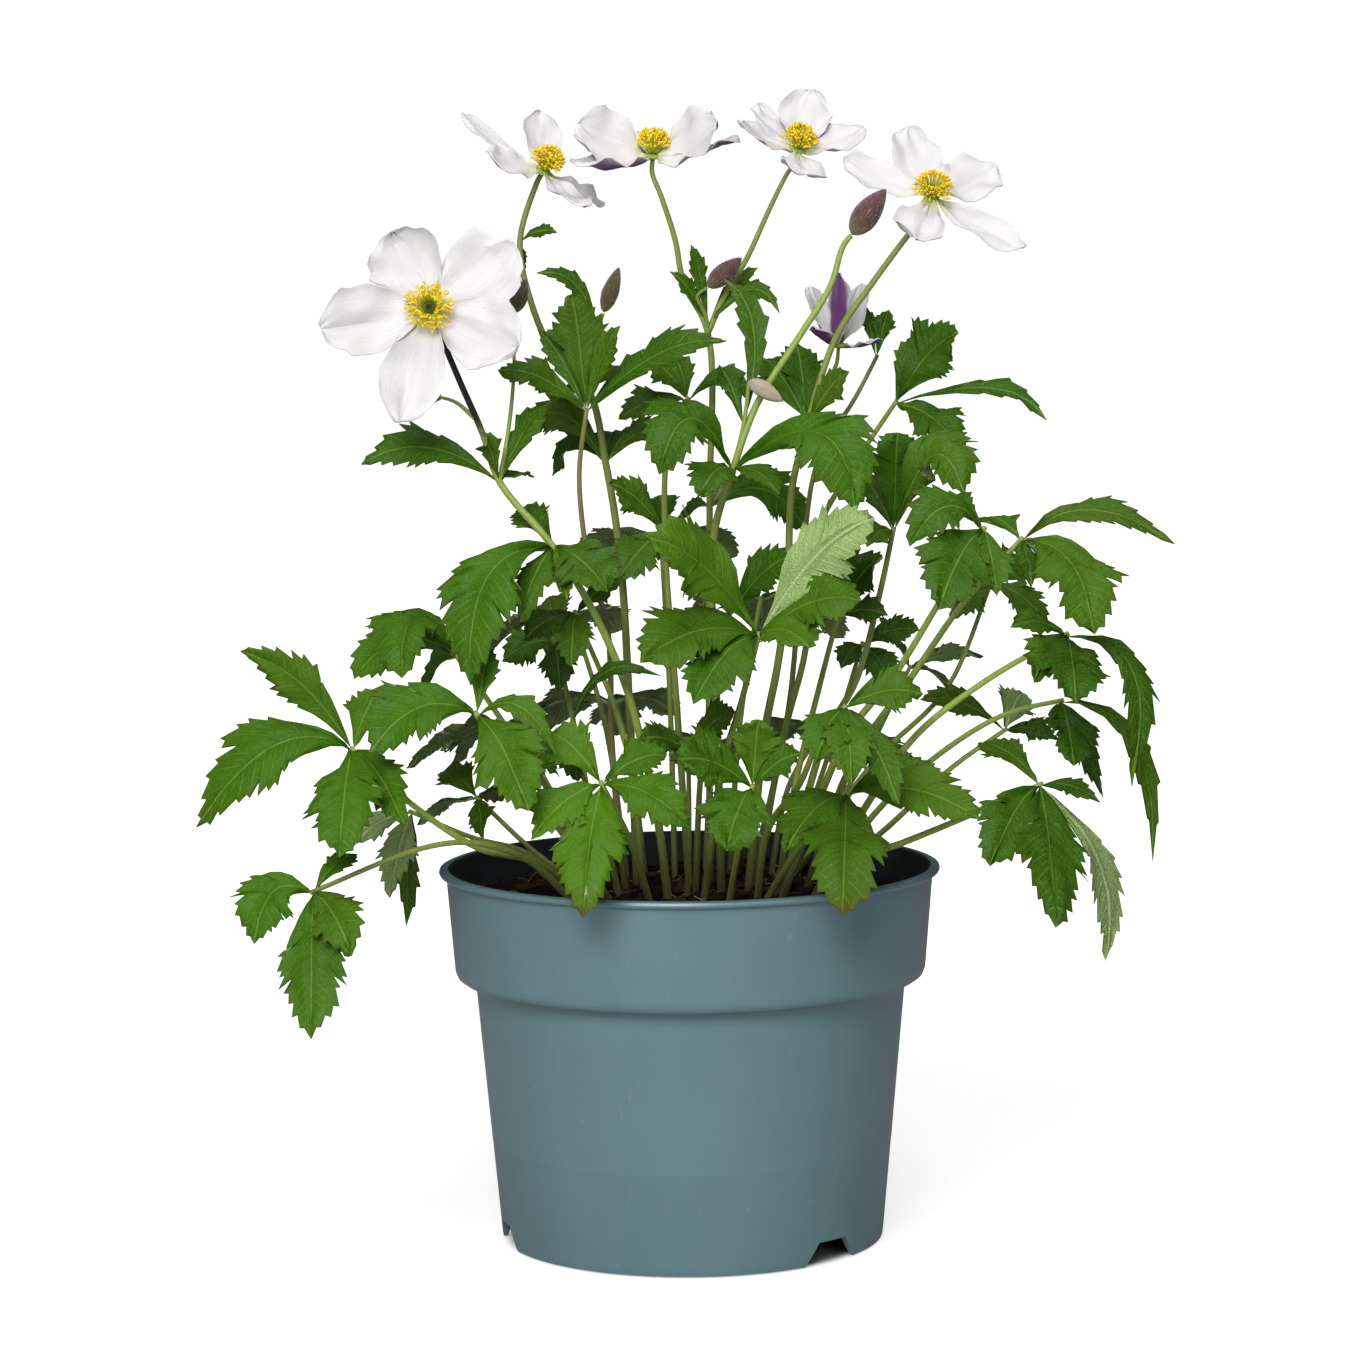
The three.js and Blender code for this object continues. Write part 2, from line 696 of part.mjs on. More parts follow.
// An egg-shaped solid from its foot to its tip
function egg(foot, tip, width, sides) {
  const length = foot.distanceTo(tip);
  const profile = [[0, 0], [0.8, 0.18], [1, 0.45], [0.68, 0.78], [0, 1]];
  const outline = profile.map(([out, along]) => new THREE.Vector2((out * width) / 2, along * length));
  const geometry = new THREE.LatheGeometry(outline, sides);
  const turn = new THREE.Quaternion().setFromUnitVectors(
    new THREE.Vector3(0, 1, 0), tip.clone().sub(foot).normalize());
  geometry.applyQuaternion(turn);
  geometry.translate(foot.x, foot.y, foot.z);
  return solid(geometry);
}

function flowerStem({ name, root, stalks, whorls, knobs = [] }) {
  const bodies = stalks.map(({ radius, points, bears }, order) => {
    const path = bears ? points.map(place) : risen(points);
    if (order === 0) path.unshift(...rootPoints(root, path[0]));
    if (bears) {
      const { seat, way } = SEATS[bears];
      path.push(seat.clone().addScaledVector(way, -5), seat.clone());
    }
    return stalk(path, radius);
  });
  for (const { at, blades } of whorls) {
    const hub = place(at);
    for (const row of blades) bodies.push(leafBlade(hub, row));
  }
  for (const [foot, tip, width] of knobs) bodies.push(egg(place(foot), place(tip), width, 6));
  return named(name, joined(bodies), 'stem');
}

function basalLeaf({ name, root, radius, points, blades }) {
  const hub = place(points.at(-1));
  const path = risen(points);
  const bodies = [stalk([...rootPoints(root, path[0]), ...path], radius)];
  for (const row of blades) bodies.push(leafBlade(hub, row));
  return named(name, joined(bodies), 'leaf');
}

function around(azimuth, reach, height) {
  const angle = THREE.MathUtils.degToRad(azimuth);
  return new THREE.Vector3(reach * Math.cos(angle), reach * Math.sin(angle), height);
}

function backRoot({ azimuth, crown }) {
  const { x, y } = around(azimuth, crown, 0);
  return [x, y];
}

function backBend({ azimuth, reach, height, crown }) {
  return around(azimuth, (reach + crown) / 2 - 4, (height + SOIL_HEIGHT) / 2 + 8);
}

function backLeaf(leaf, order) {
  const { azimuth, reach, height } = leaf;
  const hub = around(azimuth, reach, height);
  const bend = backBend(leaf);
  const path = [...rootPoints(backRoot(leaf), bend), bend, towards(bend, hub, bend.distanceTo(hub) + 1)];
  const bodies = [stalk(path, BACK_STALK_RADIUS)];
  for (const { turn, length, width, droop } of BACK_BLADES) {
    const tip = hub.clone().add(around(azimuth + turn, length, -droop));
    const start = towards(hub, tip, HUB_RADIUS);
    const over = start.clone().add(tip).multiplyScalar(0.5).addScaledVector(UP, 0.14 * length);
    bodies.push(blade(start, over, tip, width, leafFacing(hub), LEAFLET, FOLD));
  }
  return named(`leaf_back_${order + 1}`, joined(bodies), 'leaf');
}

function petals({ number, centre, axis, petals: rows }) {
  const middle = place(centre);
  const way = new THREE.Vector3(...axis).normalize();
  const turn = new THREE.Quaternion().setFromUnitVectors(new THREE.Vector3(0, 1, 0), way);
  const disc = new THREE.CylinderGeometry(DISC_RADIUS, DISC_RADIUS, DISC_THICKNESS, 6);
  disc.applyQuaternion(turn);
  disc.translate(middle.x, middle.y, middle.z);
  const bodies = [solid(disc)];
  for (const [tipPoint, width] of rows) {
    const tip = place(tipPoint);
    const outward = tip.clone().sub(middle).projectOnPlane(way).setLength(CLAW_RADIUS);
    const claw = middle.clone().add(outward);
    const over = claw.clone().add(tip).multiplyScalar(0.5);
    over.addScaledVector(way, -0.06 * middle.distanceTo(tip));
    bodies.push(blade(claw, over, tip, width, way, PETAL, 0.1));
  }
  return named(`petals_${number}`, joined(bodies), 'petal');
}

// A low dome of pistils with a ring of stamens standing out of it
function stamens({ number, centre, axis, spread, heart = 2.6, stamenCount = STAMEN_COUNT }) {
  const way = new THREE.Vector3(...axis).normalize();
  const seat = place(centre).addScaledVector(way, DISC_THICKNESS / 2 + SEAT_GAP);
  const turn = new THREE.Quaternion().setFromUnitVectors(new THREE.Vector3(0, 1, 0), way);
  const dome = [[0, 0], [0.8, 0], [1, 1.4], [0.6, 3.2], [0, 3.8]];
  const outline = dome.map(([out, up]) => new THREE.Vector2(out * heart, up));
  const core = new THREE.LatheGeometry(outline, 7);
  core.applyQuaternion(turn);
  core.translate(seat.x, seat.y, seat.z);
  const bodies = [solid(core)];
  for (let index = 0; index < stamenCount; index += 1) {
    const angle = (2 * Math.PI * index) / stamenCount;
    const out = spread * (index % 2 ? 1 : 0.72);
    const rise = index % 2 ? 4.2 : 6.2;
    const heel = new THREE.Vector3(0, 1.3, 0).applyQuaternion(turn).add(seat);
    const head = new THREE.Vector3(out * Math.cos(angle), rise, out * Math.sin(angle));
    head.applyQuaternion(turn).add(seat);
    bodies.push(needle(heel, head));
  }
  return named(`stamens_${number}`, joined(bodies), 'stamen');
}

// One stamen: three-sided, from a fine heel to its broad anther
function needle(heel, head) {
  const length = heel.distanceTo(head);
  const geometry = new THREE.ConeGeometry(ANTHER_RADIUS, length, 3);
  const way = head.clone().sub(heel).normalize();
  geometry.applyQuaternion(new THREE.Quaternion().setFromUnitVectors(new THREE.Vector3(0, -1, 0), way));
  const middle = heel.clone().add(head).multiplyScalar(0.5);
  geometry.translate(middle.x, middle.y, middle.z);
  return solid(geometry);
}

function bud({ number, foot, tip, width }) {
  return named(`bud_${number}`, egg(place(foot), place(tip), width, 8), 'bud');
}

// A thin moulded wall: foot ring, tapered body, wider collar, rolled lip, and a raised floor
function pot() {
  const outline = [
    [0, FLOOR_HEIGHT], [FOOT_RADIUS - WALL, FLOOR_HEIGHT], [FOOT_RADIUS - WALL, 0],
    [FOOT_RADIUS, 0], [BODY_TOP_RADIUS, BODY_TOP],
    [COLLAR_FOOT_RADIUS - 1.6, BODY_TOP + 1.6], [COLLAR_FOOT_RADIUS, COLLAR_FOOT],
    [COLLAR_TOP_RADIUS, POT_HEIGHT - BEAD_HEIGHT], [RIM_RADIUS, POT_HEIGHT - BEAD_HEIGHT + 0.7],
    [RIM_RADIUS - 0.4, POT_HEIGHT], [COLLAR_TOP_RADIUS - WALL, POT_HEIGHT],
    [COLLAR_FOOT_RADIUS - WALL, COLLAR_FOOT + 1], [BODY_TOP_RADIUS - WALL, BODY_TOP + WALL],
    [FOOT_RADIUS - WALL + 1, FLOOR_HEIGHT + WALL], [0, FLOOR_HEIGHT + WALL],
  ].map((point) => new THREE.Vector2(...point));
  const turned = new THREE.LatheGeometry(outline, POT_SIDES);
  turned.rotateX(Math.PI / 2);
  let body = solid(turned);
  for (const azimuth of NOTCH_AZIMUTHS) body = body.subtract(footNotch(azimuth));
  for (let index = 0; index < DRAIN.count; index += 1) {
    const middle = around((360 * (index + 0.5)) / DRAIN.count, DRAIN.ring, FLOOR_HEIGHT);
    const bore = new THREE.CylinderGeometry(DRAIN.radius, DRAIN.radius, 4 * WALL, 6);
    bore.rotateX(Math.PI / 2);
    bore.translate(middle.x, middle.y, middle.z);
    body = body.subtract(solid(bore));
  }
  return named('pot', body, 'pot');
}

// The trapezoid cut through the foot ring, as a block across the wall
function footNotch(azimuth) {
  const across = new THREE.Shape();
  across.moveTo(-NOTCH.foot / 2 - 1, -1);
  across.lineTo(NOTCH.foot / 2 + 1, -1);
  across.lineTo(NOTCH.top / 2, NOTCH.height);
  across.lineTo(-NOTCH.top / 2, NOTCH.height);
  const block = new THREE.ExtrudeGeometry(across, { depth: 20, bevelEnabled: false });
  block.rotateX(Math.PI / 2);
  block.translate(0, -FOOT_RADIUS + 12, 0);
  block.rotateZ(THREE.MathUtils.degToRad(azimuth + 90));
  return solid(block);
}

function soilTop(x, y) {
  const mound = 2.5 * (1 - (x * x + y * y) / (80 * 80));
  const lumps = Math.sin(x * 0.21 + 1.3) * Math.cos(y * 0.17) + 0.6 * Math.sin(x * 0.09 - y * 0.26);
  return SOIL_HEIGHT + mound + SOIL_RELIEF * lumps;
}

// The filling of compost, clear of the pot's wall all round, with a plain hole for each stalk
function soil(stands) {
  const clear = WALL + SEAT_GAP + 0.3;
  const floor = FLOOR_HEIGHT + WALL + SEAT_GAP;
  const rings = [84, 54, 27];
  const outline = [
    [0, floor], [FOOT_RADIUS - clear, floor], [BODY_TOP_RADIUS - clear, BODY_TOP + WALL],
    [COLLAR_FOOT_RADIUS - clear - 0.4, COLLAR_FOOT + 5], [COLLAR_FOOT_RADIUS - clear, SOIL_HEIGHT - 4],
    ...rings.map((radius) => [radius, SOIL_HEIGHT]), [0, SOIL_HEIGHT],
  ].map((point) => new THREE.Vector2(...point));
  const geometry = new THREE.LatheGeometry(outline, POT_SIDES);
  geometry.rotateX(Math.PI / 2);
  const position = geometry.getAttribute('position');
  for (let i = 0; i < position.count; i += 1) {
    if (position.getZ(i) < SOIL_HEIGHT - 1) continue;
    position.setZ(i, soilTop(position.getX(i), position.getY(i)));
  }
  let body = solid(geometry);
  for (const standing of stands) body = body.subtract(rootHole(standing));
  return named('soil', body, 'soil');
}

// The hole that a stalk stands in, along the stalk and out through the top of the soil
function rootHole({ end, ground, radius }) {
  const way = ground.clone().sub(end).normalize();
  const length = ROOT_DEPTH + SEAT_GAP + HOLE_RISE;
  const geometry = new THREE.CylinderGeometry(radius + HOLE_GAP, radius + HOLE_GAP, length, 4);
  geometry.applyQuaternion(new THREE.Quaternion().setFromUnitVectors(new THREE.Vector3(0, 1, 0), way));
  const middle = end.clone().addScaledVector(way, length / 2 - SEAT_GAP);
  geometry.translate(middle.x, middle.y, middle.z);
  return solid(geometry);
}

function stand(root, first, radius) {
  const [end, ground] = rootPoints(root, first);
  return { end, ground, radius };
}

const stands = [
  ...FLOWER_STEMS.map(({ root, stalks: [{ points, radius }] }) => stand(root, place(points[0]), radius)),
  ...LEAVES.map(({ root, points, radius }) => stand(root, place(points[0]), radius)),
  ...BACK_LEAVES.map((leaf) => stand(backRoot(leaf), backBend(leaf), BACK_STALK_RADIUS)),
];

const plant = new THREE.Group();
plant.name = 'potted_anemone';
plant.add(pot(), soil(stands));
plant.add(...FLOWER_STEMS.map(flowerStem), ...LEAVES.map(basalLeaf), ...BACK_LEAVES.map(backLeaf));
plant.add(...FLOWERS.map(petals), ...FLOWERS.map(stamens), ...BUDS.map(bud));

export default plant;
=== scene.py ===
"""A potted Japanese anemone: white flowers on branching stems over a mound of cut leaves."""

import math
import random

import bpy
import numpy as np
from mathutils import Matrix, Vector, noise


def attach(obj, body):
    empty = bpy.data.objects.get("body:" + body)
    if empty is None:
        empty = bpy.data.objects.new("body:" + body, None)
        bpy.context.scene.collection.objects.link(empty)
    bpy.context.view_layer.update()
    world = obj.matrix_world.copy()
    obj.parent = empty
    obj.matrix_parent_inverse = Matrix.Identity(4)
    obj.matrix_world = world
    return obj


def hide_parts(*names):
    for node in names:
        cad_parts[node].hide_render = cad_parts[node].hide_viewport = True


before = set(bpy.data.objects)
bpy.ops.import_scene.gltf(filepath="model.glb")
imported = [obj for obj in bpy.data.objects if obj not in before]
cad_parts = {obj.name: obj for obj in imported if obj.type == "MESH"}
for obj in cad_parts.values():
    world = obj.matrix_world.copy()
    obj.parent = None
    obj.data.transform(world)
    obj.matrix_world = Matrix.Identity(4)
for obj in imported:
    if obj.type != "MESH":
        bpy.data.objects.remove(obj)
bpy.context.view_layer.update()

# The view: straight on from the height of the lower flowers and looking down a little, through
# a long lens held a hair out of level.
MM = 0.001
VIEW_DISTANCE = 1560
VIEW_HEIGHT = 370
VIEW_ASIDE = -1.7
VIEW_DIP = 5.813
VIEW_ROLL = -0.01022
view = bpy.data.cameras.new("view")
view.lens = 109.29
view.sensor_width = 36
camera = bpy.data.objects.new("view", view)
bpy.context.scene.collection.objects.link(camera)
look = Matrix.Rotation(math.radians(90 - VIEW_DIP), 4, "X") @ Matrix.Rotation(VIEW_ROLL, 4, "Z")
stand = Matrix.Translation((VIEW_ASIDE * MM, -VIEW_DISTANCE * MM, VIEW_HEIGHT * MM))
camera.matrix_world = stand @ look
bpy.context.scene.camera = camera
bpy.context.scene.view_settings.view_transform = "Standard"


# The studio: a white floor and white surround, a broad soft key above and in front, a weaker one
# overhead, and two tall soft panels that draw the pale upright bands on the pot.
class Wire:
    """An output of a material's node, which Python's own arithmetic works on."""

    def __init__(self, tree, socket):
        self.tree = tree
        self.socket = socket

    def node(self, kind, settings, sockets, output=0):
        made = self.tree.nodes.new(kind)
        for key, value in settings.items():
            setattr(made, key, value)
        for key, value in sockets.items():
            if isinstance(value, Wire):
                self.tree.links.new(value.socket, made.inputs[key])
            else:
                made.inputs[key].default_value = value
        return Wire(self.tree, made.outputs[output])

    def sum(self, operation, *others):
        return self.node("ShaderNodeMath", {"operation": operation}, dict(enumerate(others)))

    def __add__(self, other):
        return self.sum("ADD", self, other)

    __radd__ = __add__

    def __sub__(self, other):
        return self.sum("SUBTRACT", self, other)

    def __rsub__(self, other):
        return self.sum("SUBTRACT", other, self)

    def __mul__(self, other):
        return self.sum("MULTIPLY", self, other)

    __rmul__ = __mul__

    def step(self, low, high):
        """0 below low and 1 above high, with a smooth rise between them."""
        ends = {"Value": self, "From Min": low, "From Max": high}
        return self.node("ShaderNodeMapRange", {"interpolation_type": "SMOOTHSTEP"}, ends)

    def mix(self, first, second):
        """first where this is 0, second where it is 1."""
        return self.node("ShaderNodeMix", {"data_type": "RGBA"}, {0: self, 6: first, 7: second}, 2)


class Finish:
    """A material about to be made, with the coordinates that its patterns follow."""

    def __init__(self, name, roughness=0.5, specular=0.5, **fixed):
        self.material = bpy.data.materials.new(name)
        self.material.use_nodes = True
        self.tree = self.material.node_tree
        self.shader = self.tree.nodes["Principled BSDF"]
        self.shader.inputs["Roughness"].default_value = roughness
        self.shader.inputs["Specular IOR Level"].default_value = specular
        for key, value in fixed.items():
            self.shader.inputs[key.replace("_", " ")].default_value = value
        self.start = Wire(self.tree, None)
        self.place = self.start.node("ShaderNodeTexCoord", {}, {}, 3)

    def map(self, name):
        return self.start.node("ShaderNodeUVMap", {"uv_map": name}, {})

    def parts(self, vector):
        return [self.start.node("ShaderNodeSeparateXYZ", {}, {0: vector}, i) for i in range(3)]

    def shade(self):
        colour = self.start.node("ShaderNodeAttribute", {"attribute_name": "shade"}, {})
        return [self.start.node("ShaderNodeSeparateColor", {}, {0: colour}, i) for i in range(3)]

    def clouds(self, scale, detail=3, stretch=(1, 1, 1), vector=None, roughness=0.5):
        """Soft noise from 0 to 1. The scale is in turns per metre, or per unit of a UV map."""
        stretched = self.start.node(
            "ShaderNodeMapping", {}, {"Vector": vector or self.place, "Scale": stretch})
        sockets = {"Vector": stretched, "Scale": scale, "Detail": detail, "Roughness": roughness}
        return self.start.node("ShaderNodeTexNoise", {}, sockets)

    def feed(self, **wires):
        for key, wire in wires.items():
            self.tree.links.new(wire.socket, self.shader.inputs[key.replace("_", " ")])
        return self.material

    def bump(self, height, distance, strength=1.0):
        sockets = {"Height": height, "Distance": distance, "Strength": strength}
        return self.start.node("ShaderNodeBump", {}, sockets)


def paint(code):
    """A colour as it is written for screens, in the light that materials work in."""
    parts = [int(code[i:i + 2], 16) / 255 for i in (1, 3, 5)]
    return (*[c / 12.92 if c < 0.04045 else ((c + 0.055) / 1.055) ** 2.4 for c in parts], 1)


def clear_selection():
    bpy.ops.object.select_all(action="DESELECT")


clear_selection()
bpy.ops.mesh.primitive_plane_add(size=14, location=(0, 0, -0.0006))
floor = bpy.context.object
floor.name = "floor"
paper = Finish("floor_paper", roughness=0.9, specular=0.1)
grain = paper.clouds(400, 2)
seen = paper.start.node("ShaderNodeLightPath", {}, {})
distance = paper.start.node("ShaderNodeVectorMath", {"operation": "LENGTH"}, {0: paper.place}, 1)
# For the camera alone the floor glows white, except beneath the pot
glow = seen * (distance.step(0.25, 0.9) * 0.4 + 0.74) * distance.step(0.066, 0.074)
paper.shader.inputs["Emission Strength"].default_value = 1
floor.data.materials.append(paper.feed(Base_Color=grain.mix(paint("#bcbcbc"), paint("#c6c6c6")),
                                       Emission_Color=glow))

world = bpy.data.worlds.new("surround")
bpy.context.scene.world = world
world.use_nodes = True
surround = world.node_tree
seen = surround.nodes.new("ShaderNodeLightPath")
level = surround.nodes.new("ShaderNodeMapRange")
level.inputs["To Min"].default_value = 0.08
level.inputs["To Max"].default_value = 1.05
surround.links.new(seen.outputs["Is Camera Ray"], level.inputs["Value"])
surround.links.new(level.outputs[0], surround.nodes["Background"].inputs["Strength"])
surround.nodes["Background"].inputs["Color"].default_value = (1, 1, 1, 1)


def soft_light(name, place, aim, size, power):
    panel = bpy.data.lights.new(name, "AREA")
    panel.shape = "RECTANGLE"
    panel.size, panel.size_y = size
    panel.energy = power
    lamp = bpy.data.objects.new(name, panel)
    bpy.context.scene.collection.objects.link(lamp)
    way = Vector(aim) - Vector(place)
    lamp.matrix_world = Matrix.Translation(place) @ way.to_track_quat("-Z", "Y").to_matrix().to_4x4()


soft_light("overhead", (0.1, -0.25, 1.7), (0, 0, 0.2), (1.2, 0.9), 11)
soft_light("key", (-0.3, -1.65, 1.2), (0, 0, 0.25), (0.9, 0.7), 28)
soft_light("panel_left", (-0.75, -1.5, 0.5), (0, 0, 0.2), (0.14, 1.1), 3.6)
soft_light("panel_right", (0.7, -1.6, 0.5), (0, 0, 0.2), (0.13, 1.1), 2.4)


# The pot: a nursery pot of blue-grey plastic, moulded in one shot. A tapered body with a thin
# mould line, a wider collar under a rolled lip, notches in the foot ring and holes in the floor.
RIM_RADIUS = 95
POT_HEIGHT = 142
WALL = 1.8
POT_OUTLINE = [
    (0, 9), (66, 9), (70, 8.2), (70.6, 7), (70.6, 0), (72.4, 0), (72.6, 0.8), (72.9, 3.0),
    (76.02, 37.2), (76.14, 37.8), (76.2, 38.2), (76.22, 38.9), (81.2, 93.6), (81.6, 97.2),
    (82.3, 98.7), (83.8, 99.4), (86.6, 99.9), (88.5, 101.2), (89.3, 103.2), (89.5, 105.4),
    (91.95, 135.2), (92.15, 137.4), (92.3, 138.7), (93.1, 139.5), (94.6, 139.9), (95.0, 140.7),
    (94.7, 141.6), (93.7, 142.0), (91.6, 142.0), (90.8, 141.4), (90.5, 140.0),
    (87.7, 105), (86.4, 102.6), (82.4, 101.2), (80.2, 99.4), (72.6, 14), (71.0, 11.4), (68, 10.8),
    (0, 10.8),
]
INSIDE_FROM = 20
NOTCH_AZIMUTHS = (-45, -166, 75)
NOTCH_HALF_FOOT = 13
NOTCH_HALF_TOP = 7
NOTCH_HEIGHT = 8.5
DRAIN_COUNT = 6
DRAIN_RADIUS = 5
DRAIN_RING = 52


def new_piece(name, vertices, faces):
    """A mesh object from points in millimetres, at the origin."""
    mesh = bpy.data.meshes.new(name)
    mesh.from_pydata([tuple(float(c) * MM for c in v) for v in vertices], [], faces)
    piece = bpy.data.objects.new(name, mesh)
    bpy.context.scene.collection.objects.link(piece)
    return piece


def work_on(piece):
    clear_selection()
    piece.select_set(True)
    bpy.context.view_layer.objects.active = piece


def apply_all(piece):
    work_on(piece)
    for modifier in list(piece.modifiers):
        bpy.ops.object.modifier_apply(modifier=modifier.name)


def cut_with(piece, cutter):
    hole = piece.modifiers.new("cut", "BOOLEAN")
    hole.operation = "DIFFERENCE"
    hole.solver = "EXACT"
    hole.object = cutter
    apply_all(piece)
    bpy.data.objects.remove(cutter)


def turned(name, outline, steps):
    """An outline of (radius, height), from axis to axis, spun round the upright axis."""
    edges = [(i, i + 1) for i in range(len(outline) - 1)]
    mesh = bpy.data.meshes.new(name)
    mesh.from_pydata([(r * MM, 0, z * MM) for r, z in outline], edges, [])
    piece = bpy.data.objects.new(name, mesh)
    bpy.context.scene.collection.objects.link(piece)
    work_on(piece)
    bpy.ops.object.mode_set(mode="EDIT")
    bpy.ops.mesh.select_all(action="SELECT")
    bpy.ops.mesh.spin(steps=steps, angle=2 * math.pi, center=(0, 0, 0), axis=(0, 0, 1))
    bpy.ops.mesh.select_all(action="SELECT")
    bpy.ops.mesh.remove_doubles(threshold=1e-6)
    bpy.ops.mesh.normals_make_consistent(inside=False)
    bpy.ops.object.mode_set(mode="OBJECT")
    return piece


def finish_piece(piece, node):
    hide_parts(node)
    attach(piece, "root")


pot = turned("pot_moulded", POT_OUTLINE, 160)
for azimuth in NOTCH_AZIMUTHS:
    clear_selection()
    bpy.ops.mesh.primitive_cube_add(size=1, location=(0, 0, 0))
    wedge = bpy.context.object
    for corner in wedge.data.vertices:
        half = NOTCH_HALF_TOP if corner.co.z > 0 else NOTCH_HALF_FOOT
        side = math.copysign(half, corner.co.y)
        top = NOTCH_HEIGHT if corner.co.z > 0 else -0.01
        corner.co = Vector((76 if corner.co.x > 0 else 64, side, top)) * MM
    wedge.data.transform(Matrix.Rotation(math.radians(azimuth), 4, "Z"))
    cut_with(pot, wedge)
for index in range(DRAIN_COUNT):
    angle = 2 * math.pi * (index + 0.5) / DRAIN_COUNT
    clear_selection()
    bpy.ops.mesh.primitive_cylinder_add(
        vertices=28, radius=DRAIN_RADIUS * MM, depth=8 * MM,
        location=(DRAIN_RING * math.cos(angle) * MM, DRAIN_RING * math.sin(angle) * MM, 10 * MM))
    cut_with(pot, bpy.context.object)
work_on(pot)
bpy.ops.object.shade_smooth_by_angle(angle=math.radians(38))

plastic = Finish("blue_grey_plastic", roughness=0.42, specular=0.65)
drawn = plastic.clouds(60, 5, (1, 1, 0.06))
mottle = plastic.clouds(28, 4)
fine = plastic.clouds(1500, 2)
scuff = plastic.clouds(160, 6, (1, 1, 0.35), roughness=0.7).step(0.62, 0.72)
body_blue = mottle.mix(paint("#54757d"), paint("#628289"))
body_blue = (drawn * 0.5).mix(body_blue, paint("#68878d"))
body_blue = (scuff * 0.14).mix(body_blue, paint("#a9bcc0"))
pot.data.materials.append(plastic.feed(
    Base_Color=body_blue,
    Roughness=drawn * 0.14 + scuff * 0.12 + 0.28,
    Normal=plastic.bump(drawn * 0.6 + fine * 0.25 + mottle, 0.0004, 0.35)))
# The inner wall above the foot gets a near-black, mottled colour: painted shade inside the pot.
inside_painted_shade = Finish("pot_inside", roughness=0.7, specular=0.3)
inside_shade_clouds = inside_painted_shade.clouds(55, 6, roughness=0.65)
pot.data.materials.append(inside_painted_shade.feed(Base_Color=inside_shade_clouds.mix(paint("#14181a"), paint("#323c3f"))))
for face in pot.data.polygons:
    inward = face.center.x * face.normal.x + face.center.y * face.normal.y < 0
    if inward and face.center.z > INSIDE_FROM * MM:
        face.material_index = 1
finish_piece(pot, "pot")


# The soil: dark peat compost filled to a finger below the rim, crumbly on top, with chips of bark
# pressed into it and a few fine pale roots lying across.
SOIL_HEIGHT = 130
SOIL_OUTLINE = [(0, 11.2), (70.2, 11.2), (79.7, 100.8), (87, 109), (87.2, 126)]
CHIP_COUNT = 420
ROOT_HAIR_COUNT = 34
dice = random.Random(4)


def soil_top(x, y):
    mound = 2.5 * (1 - (x * x + y * y) / 6400)
    lumps = math.sin(x * 0.21 + 1.3) * math.cos(y * 0.17) + 0.6 * math.sin(x * 0.09 - y * 0.26)
    crumbs = noise.fractal(Vector((x, y, 3)) * 0.16, 0.9, 2.1, 5)
    return SOIL_HEIGHT + mound + 1.4 * lumps + 2.1 * crumbs


soil = turned("soil_fill", SOIL_OUTLINE + [(r, 129) for r in np.linspace(86.6, 0, 64)], 150)
for corner in soil.data.vertices:
    if corner.co.z > 128 * MM:
        x, y = corner.co.x / MM, corner.co.y / MM
        hold = min(1, (87.2 - math.hypot(x, y)) / 3)
        corner.co.z = (126 + (soil_top(x, y) - 126) * hold) * MM


def bark_chip():
    """One flake of bark, a cube split and worn: its corners about the middle, and its faces."""
    clear_selection()
    bpy.ops.mesh.primitive_cube_add(size=1)
    flake = bpy.context.object
    bpy.ops.object.mode_set(mode="EDIT")
    bpy.ops.mesh.subdivide(number_cuts=1, smoothness=0.35)
    bpy.ops.object.mode_set(mode="OBJECT")
    shift = Vector((dice.uniform(0, 50), 0, 0))
    corners = []
    for corner in flake.data.vertices:
        spot = corner.co * 1.7 + shift
        wear = [noise.noise(spot + Vector((0, 7.3 * axis, 2.9 * axis))) for axis in (1, 2, 3)]
        corners.append(corner.co + 0.22 * Vector(wear))
    faces = [tuple(face.vertices) for face in flake.data.polygons]
    bpy.data.objects.remove(flake)
    return np.array(corners), faces


flakes = [bark_chip() for _ in range(5)]
chip_points, chip_faces, chip_shade = [], [], []
for _ in range(CHIP_COUNT):
    corners, faces = dice.choice(flakes)
    size = Vector((dice.uniform(3, 10), dice.uniform(2, 5), dice.uniform(0.8, 2.2)))
    ring = 84 * math.sqrt(dice.random())
    angle = dice.uniform(0, 2 * math.pi)
    x, y = ring * math.cos(angle), ring * math.sin(angle)
    turn = Matrix.Rotation(dice.uniform(0, 6.3), 3, "Z") @ Matrix.Rotation(dice.gauss(0, 0.3), 3, "X")
    placed = (corners * size) @ np.array(turn).T + (x, y, soil_top(x, y) + dice.uniform(-0.6, 0.9))
    reach = np.hypot(placed[:, 0], placed[:, 1]).max()
    if reach > 86.5:
        continue
    first = len(chip_points)
    chip_points.extend(placed)
    chip_faces.extend(tuple(first + i for i in face) for face in faces)
    chip_shade.extend([dice.random()] * len(placed))
chips = new_piece("soil_chips", chip_points, chip_faces)
tint = chips.data.attributes.new("shade", "FLOAT_COLOR", "POINT")
for value, amount in zip(tint.data, chip_shade):
    value.color = (amount, 0, 0, 1)


